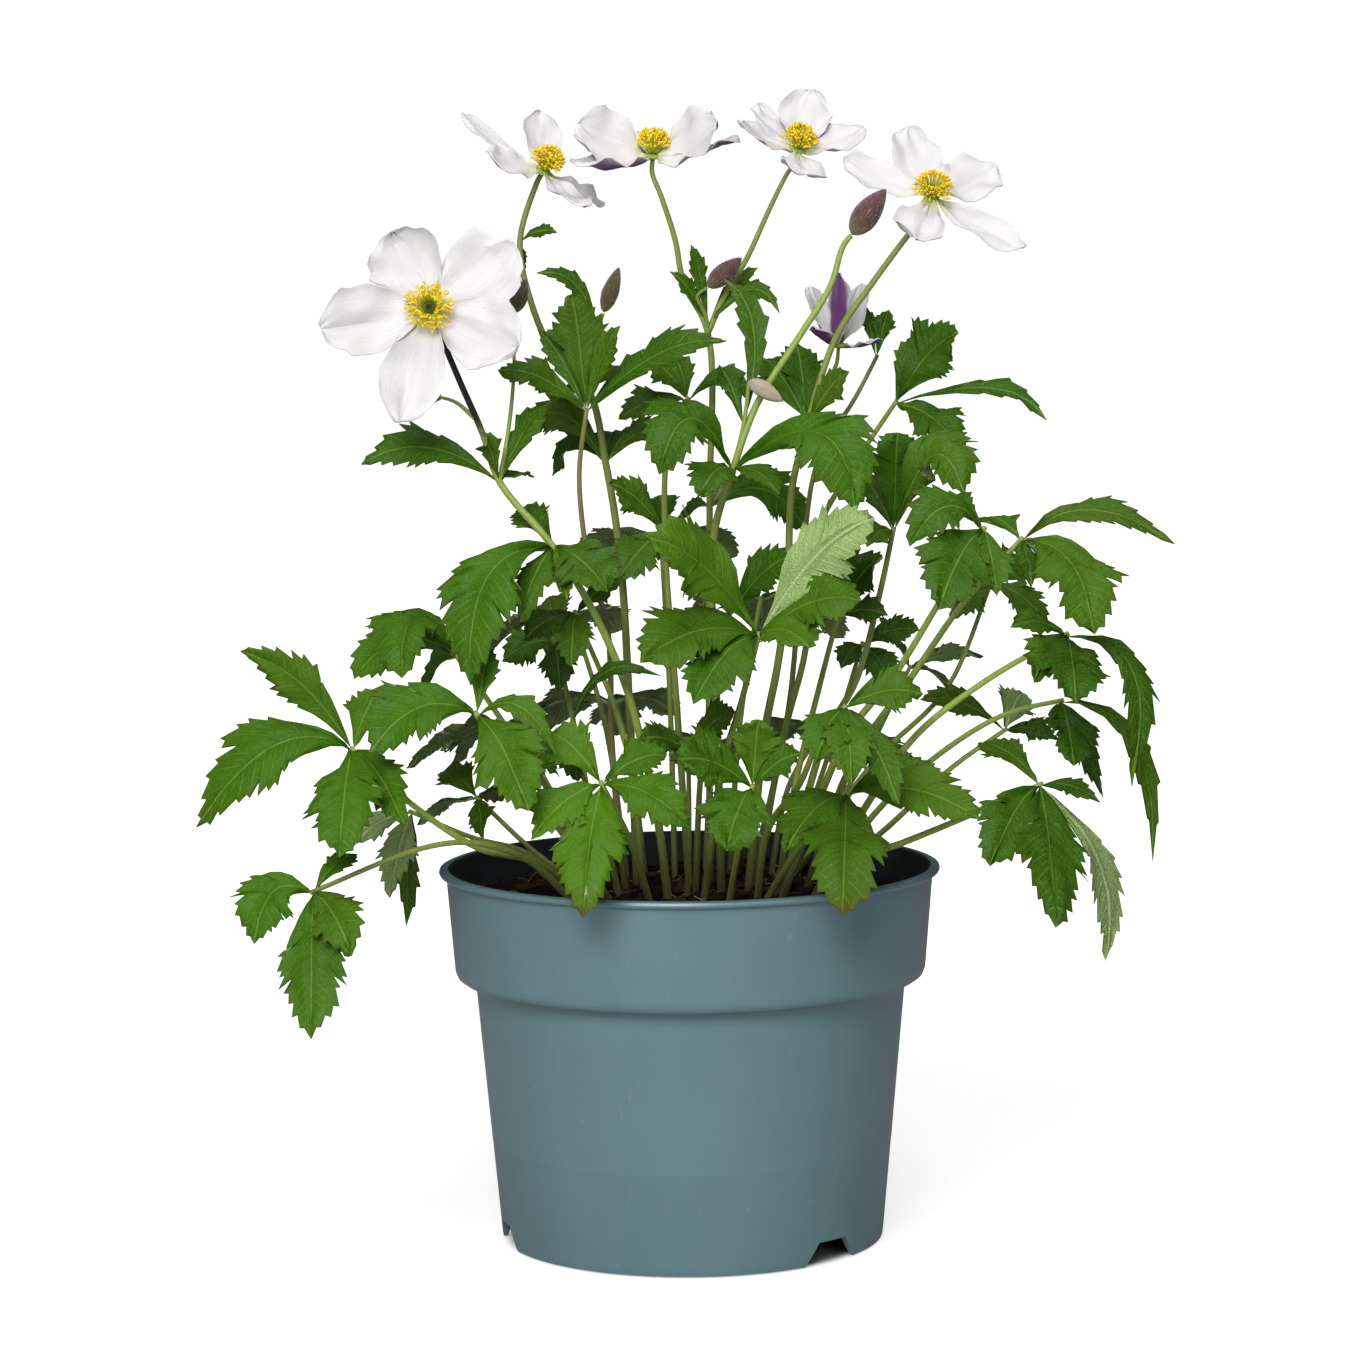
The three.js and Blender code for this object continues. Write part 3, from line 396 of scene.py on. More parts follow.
def smooth_line(points, spans):
    """A curve through the points, as a bent rod runs, with so many steps between each two."""
    points = [np.array(p, float) for p in points]
    ends = [2 * points[0] - points[1], *points, 2 * points[-1] - points[-2]]
    line = []
    for a, b, c, d in zip(ends, ends[1:], ends[2:], ends[3:]):
        ab, bc, cd = (math.sqrt(np.linalg.norm(q - p)) for p, q in ((a, b), (b, c), (c, d)))
        leave = ((b - a) / ab - (c - a) / (ab + bc) + (c - b) / bc) * bc
        arrive = ((c - b) / bc - (d - b) / (bc + cd) + (d - c) / cd) * bc
        for step in range(spans):
            t = step / spans
            bend = (-3 * b + 3 * c - 2 * leave - arrive) * t * t
            line.append(b + leave * t + bend + (2 * b - 2 * c + leave + arrive) * t ** 3)
    return np.array([*line, points[-1]])


class Growth:
    """Points and faces of a plant piece, gathered in millimetres before they become a mesh."""

    def __init__(self):
        self.points, self.faces, self.slots = [], [], []
        self.maps = {"veins": [], "flat": []}
        self.shade = []

    def add(self, points, faces, veins, flat, shade, slot=0):
        first = len(self.points)
        self.points.extend(points)
        self.faces.extend(tuple(first + i for i in face) for face in faces)
        self.slots.extend([slot] * len(faces))
        self.maps["veins"].extend(veins)
        self.maps["flat"].extend(flat)
        self.shade.extend(shade)

    def tube(self, line, radii, sides, shades, slot=0):
        """A round rod along the line with closed ends. Its flat map is round and along it."""
        line = np.array(line)
        ways = np.gradient(line, axis=0)
        ways /= np.linalg.norm(ways, axis=1)[:, None]
        side = np.cross(ways[0], (0.31, 0.9, 0.17))
        points, flat = [], []
        run = 0
        for index, (middle, way, radius) in enumerate(zip(line, ways, radii)):
            side = side - way * np.dot(side, way)
            side /= np.linalg.norm(side)
            other = np.cross(way, side)
            run += np.linalg.norm(middle - line[index - 1]) if index else 0
            for turn in range(sides):
                angle = 2 * math.pi * turn / sides
                points.append(middle + radius * (side * math.cos(angle) + other * math.sin(angle)))
                flat.append((turn / sides, run))
        count = len(line)
        faces = []
        for ring in range(count - 1):
            for turn in range(sides):
                low, next_low = ring * sides + turn, ring * sides + (turn + 1) % sides
                faces.append((low, next_low, next_low + sides, low + sides))
        faces.append(tuple(reversed(range(sides))))
        faces.append(tuple(range((count - 1) * sides, count * sides)))
        veins = [(0.5, ring / (count - 1)) for ring in range(count) for _ in range(sides)]
        spread = [tuple(shades[ring]) for ring in range(count) for _ in range(sides)]
        self.add(points, faces, veins, flat, spread, slot)

    def made(self, name, materials):
        piece = new_piece(name, self.points, self.faces)
        mesh = piece.data
        for material in materials:
            mesh.materials.append(material)
        mesh.polygons.foreach_set("material_index", self.slots)
        mesh.polygons.foreach_set("use_smooth", [True] * len(self.faces))
        corners = np.zeros(len(mesh.loops), int)
        mesh.loops.foreach_get("vertex_index", corners)
        for label, places in self.maps.items():
            layer = mesh.uv_layers.new(name=label)
            layer.uv.foreach_set("vector", np.array(places, np.float32)[corners].ravel())
        tint = mesh.attributes.new("shade", "FLOAT_COLOR", "POINT")
        four = [(r, g, b, 1) for r, g, b in self.shade]
        tint.data.foreach_set("color", np.array(four, np.float32).ravel())
        return piece


def joined(pieces, name):
    clear_selection()
    for piece in pieces:
        piece.select_set(True)
    bpy.context.view_layer.objects.active = pieces[0]
    if len(pieces) > 1:
        bpy.ops.object.join()
    pieces[0].name = name
    return pieces[0]


hairs = Growth()
for _ in range(ROOT_HAIR_COUNT):
    x, y = dice.uniform(-62, 62), dice.uniform(-62, 62)
    way = dice.uniform(0, 6.3)
    track = []
    for _ in range(7):
        lift = 0.9 + max(0, dice.gauss(0, 0.6))
        track.append((x, y, soil_top(x, y) + lift))
        way += dice.gauss(0, 0.55)
        x, y = x + 4 * math.cos(way), y + 4 * math.sin(way)
    line = smooth_line(track, 3)
    width = dice.uniform(0.12, 0.34)
    thin = [width * (1 - 0.6 * i / len(line)) for i in range(len(line))]
    hairs.tube(line, thin, 4, [(dice.random(), 0, 0)] * len(line))

peat = Finish("peat", roughness=0.95, specular=0.2)
clods = peat.clouds(180, 8, roughness=0.7)
flecks = peat.clouds(700, 3).step(0.62, 0.7)
peat_colour = clods.mix(paint("#060403"), paint("#1f130b"))
peat_colour = (flecks * 0.5).mix(peat_colour, paint("#3a2416"))
soil.data.materials.append(peat.feed(
    Base_Color=peat_colour, Normal=peat.bump(clods + flecks * 0.3, 0.003)))
bark = Finish("bark", roughness=0.85, specular=0.25)
grain = bark.clouds(320, 6, (0.3, 1, 1), roughness=0.65)
age, _, _ = bark.shade()
bark_colour = age.mix(paint("#100906"), paint("#3d2012"))
bark_colour = (grain.step(0.5, 0.75) * 0.6).mix(bark_colour, paint("#6b452c"))
chips.data.materials.append(bark.feed(Base_Color=bark_colour, Normal=bark.bump(grain, 0.0015)))
fibre = Finish("fine_root", roughness=0.7, specular=0.3)
age, _, _ = fibre.shade()
fine_roots = hairs.made("soil_roots", [fibre.feed(
    Base_Color=age.mix(paint("#5d4429"), paint("#b09a72")))])
work_on(soil)
bpy.ops.object.shade_smooth_by_angle(angle=math.radians(50))
finish_piece(joined([soil, chips, fine_roots], "soil_filled"), "soil")


# The flower stems: wiry downy stalks, green to brown, each rising out of the soil and forking at
# a ruff of cut leaves. Stalks, ruffs and the smallest buds have grown as one.
FLOWER_STEMS = {
    "flower_stem_1": {
        "root": (-8, -20),
        "stalks": [
            (1.7, "flower_1", [
                (-12, -24, 160), (-18, -28, 190), (-24, -32, 212), (-35, -38, 238),
                (-50, -44, 263), (-70, -36, 288), (-76, -38, 306), (-84, -44, 325),
                (-92, -49, 345),
            ]),
            (0.9, None, [
                (-70, -36, 288), (-66, -33, 310), (-64, -30, 330), (-64, -28, 352),
            ]),
            (0.9, None, [
                (-79, -40, 312), (-86, -34, 318), (-92, -31, 320),
            ]),
        ],
        "whorls": [
            ((-50, -44, 263), [
                ((-82, -75, 211), 26, (-75, -68, 252)), ((-63, -70, 235), 13),
                ((-30, -64, 246), 20), ((-45, -62, 243), 11), ((-64, -18, 277), 13),
            ]),
            ((-70, -36, 288), [
                ((-122, -44, 295), 15, (-97, -42, 301)), ((-77, -52, 307), 8),
                ((-50, -30, 318), 12), ((-60, -18, 290), 12),
            ]),
        ],
    },
    "flower_stem_2": {
        "root": (-24, -2),
        "stalks": [
            (1.5, None, [
                (-27, -4, 160), (-29, -6, 190), (-30, -10, 232), (-37, -18, 258), (-40, -22, 290),
                (-37, -25, 314),
            ]),
        ],
        "whorls": [
            ((-37, -25, 314), [
                ((-42, -32, 358), 17), ((-70, -38, 330), 15), ((-24, -38, 346), 11),
                ((16, -44, 340), 15, (-10, -38, 335)), ((-4, -14, 336), 11), ((-55, -18, 345), 9),
            ]),
        ],
    },
    "flower_stem_3": {
        "root": (-20, 12),
        "stalks": [
            (1.7, "flower_2", [
                (-22, 11, 200), (-25, 8, 260), (-30, 6, 295), (-36, 4, 322), (-50, 4, 338),
                (-58, 5, 358), (-61, 6, 378),
            ]),
            (1, "bud_3", [
                (-36, 4, 322), (-34, 3, 335), (-32, 2, 344),
            ]),
        ],
        "whorls": [
            ((-61, 6, 378), [
                ((-47, 0, 381), 7), ((-60, 12, 366), 5),
            ]),
            ((-32, 2, 344), [
                ((-55, -2, 366), 8, (-41, -1, 362)),
            ]),
            ((-36, 4, 322), [
                ((-22, 16, 330), 10), ((-48, 18, 318), 9),
            ]),
            ((-30, 6, 295), [
                ((-62, 22, 306), 17, (-46, 16, 313)), ((-50, 34, 290), 14, (-42, 22, 302)),
                ((-26, 38, 306), 15), ((-4, 22, 300), 15, (-16, 16, 306)),
            ]),
        ],
    },
    "flower_stem_4": {
        "root": (0, 5),
        "stalks": [
            (1.6, None, [
                (-4, 5, 200), (-8, 5, 268), (-6, 5, 303), (1, 5, 318),
            ]),
        ],
        "whorls": [
            ((1, 5, 318), [
                ((-14, 2, 334), 12), ((24, -2, 317), 10, (15, 0, 327)), ((-25, -2, 311), 13),
                ((-3, 26, 333), 12),
            ]),
            ((-8, 5, 268), [
                ((-26, -6, 250), 17), ((14, 2, 256), 15), ((-29, -6, 287), 14),
                ((-10, 30, 282), 13),
            ]),
        ],
    },
    "flower_stem_5": {
        "root": (8, 15),
        "stalks": [
            (1.5, "flower_3", [
                (8, 15, 200), (9, 14, 280), (9, 12, 343), (0, 12, 362), (-3, 12, 378),
                (-8, 12, 394),
            ]),
            (1.2, "flower_4", [
                (9, 12, 343), (15, 12, 356), (24, 12, 371), (32, 12, 388), (38, 13, 400),
            ]),
            (1, "bud_2", [
                (9, 12, 343), (8, 10, 350),
            ]),
        ],
        "whorls": [
            ((9, 12, 346), [
                ((-5, 4, 366), 7), ((3, 2, 376), 7), ((36, 6, 350), 8, (25, 8, 359)),
                ((28, 20, 367), 7),
            ]),
            ((9, 14, 278), [
                ((46, 28, 268), 20, (29, 22, 284)), ((22, 42, 286), 14), ((-6, 44, 266), 14),
            ]),
        ],
    },
    "flower_stem_6": {
        "root": (12, -10),
        "stalks": [
            (1.7, "bud_1", [
                (11, -12, 200), (10, -14, 264), (18, -28, 292), (27, -26, 316), (43, -22, 341),
                (55, -20, 360),
            ]),
            (1.1, None, [
                (18, -28, 292), (22, -28, 308), (24, -31, 323),
            ]),
        ],
        "whorls": [
            ((22, -28, 308), [
                ((15, -22, 363), 10, (26, -26, 344)), ((13, -18, 331), 9),
            ]),
            ((18, -28, 292), [
                ((-10, -46, 290), 24, (2, -42, 311)), ((5, -60, 282), 17), ((35, -54, 282), 13),
                ((64, -62, 275), 28, (50, -50, 305)),
            ]),
        ],
    },
    "flower_stem_7": {
        "root": (22, -5),
        "stalks": [
            (1.7, "flower_5", [
                (29, -8, 192), (34, -8, 217), (38, -8, 245), (40, -8, 284), (46, -5, 308),
                (57, -4, 341), (70, -5, 360), (82, -8, 376),
            ]),
            (1.1, "flower_6", [
                (46, -5, 308), (52, 4, 318), (56, 8, 328),
            ]),
        ],
        "whorls": [
            ((46, -5, 308), [
                ((29, 6, 334), 18), ((42, 12, 339), 16), ((62, -14, 328), 11),
            ]),
        ],
    },
    "flower_stem_8": {
        "root": (25, 8),
        "stalks": [
            (1.5, None, [
                (36, 8, 190), (45, 8, 225), (47, 10, 262), (60, 12, 288), (70, 10, 303),
                (79, 6, 316),
            ]),
        ],
        "whorls": [
            ((79, 6, 316), [
                ((103, -6, 342), 22), ((136, -6, 309), 10, (116, 0, 321)), ((104, -12, 298), 19),
                ((88, 14, 341), 11),
            ]),
        ],
    },
    "flower_stem_9": {
        "root": (23, 21),
        "stalks": [
            (1.3, None, [
                (38, 21, 200), (44, 21, 260), (50, 20, 295), (64, 18, 318), (72, 16, 333),
            ]),
        ],
        "whorls": [
            ((72, 16, 333), [
                ((77, 10, 351), 8), ((67, 18, 353), 6),
            ]),
            ((50, 20, 295), [
                ((76, 36, 290), 15), ((34, 42, 302), 14),
            ]),
            ((43, 21, 248), [
                ((66, 34, 244), 15, (56, 28, 256)), ((28, 44, 250), 13),
            ]),
        ],
    },
}
KNOBS = {
    "flower_stem_1": [((-64, -28, 351), (-59, -28, 364), 7), ((-91, -31, 320), (-103, -25, 320), 5)],
    "flower_stem_6": [((24, -32, 325), (37, -36, 317), 7)],
}


def place(point):
    """From the front sheet, as the view shows it, to where it stands in millimetres."""
    across, depth, up = point
    spread = (VIEW_DISTANCE + depth) / VIEW_DISTANCE
    return np.array((across * spread, depth, VIEW_HEIGHT + (up - VIEW_HEIGHT) * spread))


def unit(vector):
    vector = np.asarray(vector, float)
    return vector / np.linalg.norm(vector)


# Half outlines of a leaf's lobes, as shares of length and width. A tooth's tip is followed by the
# notch above it, and True marks a tooth, where a side vein ends.
LOBE = [
    (0, 0, 0), (0.06, 0.03, 0), (0.14, 0.085, 0), (0.23, 0.16, 0), (0.32, 0.24, 0),
    (0.4, 0.315, 0), (0.475, 0.4, 1), (0.485, 0.345, 0), (0.55, 0.475, 1), (0.555, 0.405, 0),
    (0.62, 0.53, 1), (0.62, 0.455, 0), (0.685, 0.54, 1), (0.675, 0.455, 0), (0.735, 0.485, 1),
    (0.7, 0.385, 0), (0.675, 0.3, 0), (0.765, 0.395, 1), (0.765, 0.325, 0), (0.84, 0.37, 1),
    (0.835, 0.29, 0), (0.905, 0.27, 1), (0.895, 0.19, 0), (0.955, 0.15, 1), (0.955, 0.085, 0),
    (1, 0, 1),
]
LEAFLET = [
    (0, 0, 0), (0.08, 0.045, 0), (0.2, 0.13, 0), (0.31, 0.22, 0), (0.41, 0.33, 1),
    (0.425, 0.285, 0), (0.51, 0.46, 1), (0.52, 0.38, 0), (0.61, 0.53, 1), (0.6, 0.42, 0),
    (0.695, 0.47, 1), (0.655, 0.32, 0), (0.78, 0.38, 1), (0.775, 0.275, 0), (0.875, 0.255, 1),
    (0.865, 0.165, 0), (0.94, 0.12, 1), (0.96, 0.06, 0), (1, 0, 1),
]
BRACT = [
    (0, 0, 0), (0.1, 0.06, 0), (0.28, 0.19, 0), (0.42, 0.35, 1), (0.45, 0.28, 0), (0.58, 0.5, 1),
    (0.6, 0.37, 0), (0.72, 0.39, 1), (0.73, 0.26, 0), (0.86, 0.21, 1), (0.87, 0.13, 0), (1, 0, 1),
]
# Blades lean back from the view, so they are wider than they are drawn
LEAN = 1.22
FOLD = 0.16
BLADE_THICKNESS = 0.42
ACROSS = (0.2, 0.42, 0.64, 0.83, 1.0)


def leaf_form(width):
    if width > 18:
        return LOBE
    return LEAFLET if width > 12 else BRACT


def leaf_facing(hub):
    if hub[1] < 24:
        return unit((hub[0] * 0.003, -0.72, 0.62))
    return unit((hub[0] * 0.006, hub[1] * 0.006, 0.8))


def rib_frame(base, over, tip, along, facing, twist):
    """Points of the arched rib, and the ways out to its side and up from its face."""
    control = 2 * over - (base + tip) / 2
    t = np.asarray(along)[:, None]
    points = base * (1 - t) ** 2 + 2 * control * t * (1 - t) + tip * t ** 2
    forward = 2 * (control - base) * (1 - t) + 2 * (tip - control) * t
    forward /= np.linalg.norm(forward, axis=1)[:, None]
    side = np.cross(forward, facing)
    side /= np.linalg.norm(side, axis=1)[:, None]
    up = np.cross(side, forward)
    lean = twist * t
    return points, side * np.cos(lean) + up * np.sin(lean), up * np.cos(lean) - side * np.sin(lean)


def woven(rows, columns):
    """The faces of a blade's two halves. Its rib comes first in the list of its points."""
    faces = []
    for number, side in enumerate((1, -1)):
        first = rows + number * (rows - 2) * columns

        def at(row, column):
            inner = row in (0, rows - 1) or column < 0
            return row if inner else first + (row - 1) * columns + column

        for row in range(rows - 1):
            for column in range(-1, columns - 1):
                ring = [at(row, column), at(row + 1, column), at(row + 1, column + 1),
                        at(row, column + 1)]
                ring = list(dict.fromkeys(ring))
                if len(ring) > 2:
                    faces.append(tuple(ring[::-1] if side == 1 else ring))
    return faces


def leaf_blade(growth, base, over, tip, width, facing, form, chance, tone, turned_over=False,
               wilt=0.0):
    """One lobe of a leaf: side veins run from the rib out to the teeth, and the leaf swells
    between them, waves along its edge and rolls at its tip."""
    length = np.linalg.norm(tip - base)
    fold = FOLD * chance.uniform(0.5, 1.2)
    if turned_over:
        facing, fold = -facing, -fold * 0.6
    twist = chance.uniform(-0.28, 0.28)
    wave = [(chance.uniform(0.5, 1.4), chance.uniform(1.4, 2.6), chance.uniform(0, 6.3))
            for _ in range(2)]
    roll = chance.uniform(-0.01, 0.07) * length
    edge = []
    for side in (1, -1):
        scale, slip, grow = chance.uniform(0.95, 1.08), 0.0, 1.0
        teeth = []
        for a, o, tooth in form:
            if tooth:
                slip, grow = chance.uniform(-0.016, 0.016), chance.uniform(0.84, 1.1)
            teeth.append((a + slip * (0 < a < 1), o * scale * grow, tooth))
        edge.append(teeth)
    seed = chance.uniform(0, 90)
    rib_along = [a - 0.38 * o for a, o, _ in form]
    along, out, height = [*rib_along], [0] * len(form), [0] * len(form)
    veins, shade = [(0, 0)] * len(form), [(tone[0], tone[1], 0)] * len(form)
    for number, side in enumerate((1, -1)):
        strength, turns, start = wave[number]
        count = 0.0
        for row in range(1, len(form) - 1):
            a, o, tooth = edge[number][row]
            count = math.floor(count + 0.5) + 1.0 if tooth else math.floor(count) + 0.5
            swell = 0.0 if tooth else 1.0
            for share in ACROSS:
                here = rib_along[row] + (a - rib_along[row]) * share ** 1.2
                reach = o * share
                lift = fold * reach * width * (1 - 0.9 * reach)
                lift += swell * 0.018 * width * math.sin(math.pi * share) ** 0.8
                lift += 0.04 * width * strength * share ** 2 * math.sin(6.3 * here * turns + start)
                lift += 0.09 * width * noise.noise(Vector((4 * here, 2 * side * share, seed)))
                lift -= roll * max(0, (here - 0.7) / 0.3) ** 2
                along.append(here)
                out.append(side * reach)
                height.append(lift)
                veins.append((count, share))
                dry = 0.8 * wilt * max(0, (here - 0.84) / 0.16) ** 2
                dry += 0.5 * share ** 12 * tooth * (chance.random() < 0.5)
                shade.append((tone[0], tone[1], min(1, dry)))
    points, sideways, up = rib_frame(base, over, tip, along, facing, twist)
    out, height = np.array(out) * width, np.array(height)
    points = points + sideways * out[:, None] + up * height[:, None]
    shade[len(form) - 1] = (tone[0], tone[1], 0.8 * wilt)
    flat = [(a * length, o) for a, o in zip(along, out)]
    growth.add(points, woven(len(form), len(ACROSS)), veins, flat, shade)


def thickened(growth, name, materials, thickness):
    """The blades given their thickness, the upper face in the first material."""
    piece = growth.made(name, materials)
    work_on(piece)
    wall = piece.modifiers.new("thickness", "SOLIDIFY")
    wall.thickness = thickness * MM
    wall.offset = 0
    wall.material_offset = 1
    apply_all(piece)
    bpy.ops.object.shade_smooth_by_angle(angle=math.radians(60))
    return piece


leaf_top = Finish("leaf_upper_face", roughness=0.5, specular=0.14)
tone, warm, dry = leaf_top.shade()
vein_row, vein_out, _ = leaf_top.parts(leaf_top.map("veins"))
_, rib_out, _ = leaf_top.parts(leaf_top.map("flat"))
fine_vein = 1 - vein_row.sum("PINGPONG", vein_row, 0.5).step(0.01, 0.1)
main_vein = 1 - vein_row.sum("PINGPONG", vein_row, 1.0).step(0.0, 0.09)
side_vein = (fine_vein * 0.35 + main_vein * 0.75) * (1 - vein_out.step(0.6, 1.0))
rib_line = 1 - rib_out.sum("ABSOLUTE", rib_out).step(0.08, 0.45)
net = leaf_top.start.node("ShaderNodeTexVoronoi", {"feature": "DISTANCE_TO_EDGE"},
                          {"Vector": leaf_top.map("flat"), "Scale": 0.75})
net_line = 1 - net.step(0.0, 0.14)
patches = leaf_top.clouds(70, 4)
speckle = leaf_top.clouds(900, 3)
dark_green = patches.mix(paint("#1b3706"), paint("#284c08"))
light_green = patches.mix(paint("#356508"), paint("#4c7e0c"))
green = tone.mix(dark_green, light_green)
green = (warm * 0.7).mix(green, paint("#6d7b1d"))
green = (speckle.step(0.5, 0.8) * 0.16).mix(green, paint("#6f9c2a"))
green = (net_line * 0.1).mix(green, paint("#7fae35"))
line = side_vein.sum("MAXIMUM", side_vein, rib_line)
green = (line * 0.26).mix(green, paint("#9fbf4e"))
green = (vein_out.step(0.93, 1.0) * 0.3).mix(green, paint("#2c4a12"))
green = dry.mix(green, paint("#5b3a1e"))
relief = 1 - line * 0.6 - net_line * 0.3 + speckle * 0.15
LEAF_TOP = leaf_top.feed(
    Base_Color=green, Roughness=patches * 0.15 + speckle * 0.1 + 0.32,
    Normal=leaf_top.bump(relief, 0.0004, 0.55))

leaf_under = Finish("leaf_under_face", roughness=0.65, specular=0.3)
tone, _, dry = leaf_under.shade()
vein_row, _, _ = leaf_under.parts(leaf_under.map("veins"))
_, rib_out, _ = leaf_under.parts(leaf_under.map("flat"))
side_vein = 1 - vein_row.sum("PINGPONG", vein_row, 0.5).step(0.04, 0.17)
rib_line = 1 - rib_out.sum("ABSOLUTE", rib_out).step(0.2, 0.9)
net = leaf_under.start.node("ShaderNodeTexVoronoi", {"feature": "DISTANCE_TO_EDGE"},
                            {"Vector": leaf_under.map("flat"), "Scale": 0.75})
net_line = 1 - net.step(0.0, 0.16)
patches = leaf_under.clouds(80, 4)
pale = tone.mix(paint("#7d9a5c"), paint("#a3bf74"))
pale = (patches * 0.5).mix(pale, paint("#8aa763"))
line = side_vein.sum("MAXIMUM", side_vein, rib_line)
pale = (net_line * 0.25).mix(pale, paint("#6d8c45"))
pale = (line * 0.5).mix(pale, paint("#c3d795"))
pale = dry.mix(pale, paint("#6a4a2a"))
LEAF_UNDER = leaf_under.feed(
    Base_Color=pale, Roughness=patches * 0.2 + 0.55,
    Normal=leaf_under.bump(line * 0.8 + net_line * 0.4, 0.0006, 0.8))

stalk_skin = Finish("stalk_skin", roughness=0.5, specular=0.4, Sheen_Weight=0.15)
tone, warm, dry = stalk_skin.shade()
ridges = stalk_skin.clouds(900, 2, (1, 1, 0.03))
blotch = stalk_skin.clouds(120, 3, (1, 1, 0.5))
green = tone.mix(paint("#4f6b22"), paint("#93b043"))
green = (ridges.step(0.4, 0.75) * 0.35).mix(green, paint("#b4c766"))
brown = dry.mix(blotch.mix(paint("#85754a"), paint("#75563c")), paint("#1c140f"))
green = warm.mix(green, brown)
STALK_SKIN = stalk_skin.feed(
    Base_Color=green, Roughness=blotch * 0.2 + 0.4, Normal=stalk_skin.bump(ridges, 0.0004, 0.6))

STALK_TINTS = {
    "flower_stem_1": (0.75, 0.0, 0.3), "flower_stem_2": (0.55, 0.75, 0.8),
    "flower_stem_3": (0.5, 0.35, 0.4), "flower_stem_4": (0.55, 0.2, 0.25),
    "flower_stem_5": (0.55, 0.25, 0.3), "flower_stem_6": (0.8, 0.05, 0.15),
    "flower_stem_7": (0.7, 0.05, 0.55), "flower_stem_8": (0.6, 0.1, 0.3),
    "flower_stem_9": (0.4, 0.5, 0.6),
}
SOIL_STAIN_AND_SHADE_HEIGHT = 38
BLACKENED_FROM = 0.655


def stalk(growth, points, radius, tint, grounded, blackened=0.0):
    """A stalk, stouter at its foot. The tint is its green and how brown it is low and high."""
    line = smooth_line(points, 6)
    share = np.linspace(0, 1, len(line))
    tone, low, high = tint
    shades = []
    for middle, s in zip(line, share):
        black = blackened * min(1, max(0, (s - BLACKENED_FROM) / 0.03))
        brown = max(low + (high - low) * s ** 1.5, black)
        # Near the soil the stalk turns brown-black: partly its own stain, partly painted shade at the
        # dark foot of the clump.
        if grounded:
            near_soil = max(0, 1 - max(0, middle[2] - SOIL_HEIGHT) / SOIL_STAIN_AND_SHADE_HEIGHT)
            brown = max(brown, 0.9 * near_soil)
            black = max(black, 0.6 * near_soil)
        shades.append((tone, brown, black))
    growth.tube(line, radius * (1.0 - 0.42 * share), 9, shades)


def towards(start, end, distance):
    return start + unit(end - start) * distance


def root_points(root, first):
    ground = np.array((*root, SOIL_HEIGHT), float)
    return [towards(ground, first, -10), ground]


def risen(points):
    placed = [place(p) for p in points]
    placed[-1] = placed[-1] + unit(placed[-1] - placed[-2]) * 1.3
    return placed


def bud_girth(s):
    """How full a bud is at a share of its length."""
    return math.sin(math.pi * s ** 0.86) ** 0.72 * (1 - 0.18 * s)


def egg_bud(growth, foot, tip, width, chance, pale):
    """A closed bud: five downy sepals lapped over one another to a blunt point."""
    length = np.linalg.norm(tip - foot)
    way = unit(tip - foot)
    side = unit(np.cross(way, (0.2, 0.9, 0.1)))
    other = np.cross(way, side)
    rings, sides = 15, 30
    start = chance.uniform(0, 6.3)
    points, flat, shade, veins = [foot], [(0, 0)], [(pale, 0.2, 0)], [(0, 0)]
    for ring in range(1, rings):
        s = ring / rings
        girth = bud_girth(s)
        for turn in range(sides):
            angle = 2 * math.pi * turn / sides
            lap = ((angle + start + 0.5 * s) * 5 / (2 * math.pi)) % 1
            radius = width / 2 * girth * (0.93 + 0.1 * lap ** 1.5 - 0.04 * (lap > 0.93))
            points.append(foot + way * length * s
                          + radius * (side * math.cos(angle) + other * math.sin(angle)))
            flat.append((lap * 6, s * length))
            veins.append((lap, s))
            shade.append((pale, lap, s))
    points.append(tip)
    flat.append((0, length))
    veins.append((0, 1))
    shade.append((pale, 0.5, 1))
    faces = []
    for turn in range(sides):
        onward = (turn + 1) % sides
        faces.append((0, 1 + onward, 1 + turn))
        last = 1 + (rings - 2) * sides
        faces.append((last + turn, last + onward, len(points) - 1))
        for ring in range(rings - 2):
            low = 1 + ring * sides
            faces.append((low + turn, low + onward, low + sides + onward, low + sides + turn))
    growth.add(points, faces, veins, flat, shade)


def downy_hairs(growth, foot, tip, width, count, chance):
    """Short silky hairs that lie forward along a bud."""
    length = np.linalg.norm(tip - foot)
    way = unit(tip - foot)
    side = unit(np.cross(way, (0.2, 0.9, 0.1)))
    other = np.cross(way, side)
    for _ in range(count):
        s = chance.uniform(0.05, 0.93)
        angle = chance.uniform(0, 6.3)
        girth = bud_girth(s)
        outward = side * math.cos(angle) + other * math.sin(angle)
        heel = foot + way * length * s + outward * width / 2 * girth * 0.97
        end = heel + outward * chance.uniform(0.15, 0.4) + way * chance.uniform(0.3, 0.7)
        growth.tube([heel, end], [0.07, 0.02], 3, [(1, 1, 1)] * 2, 1)


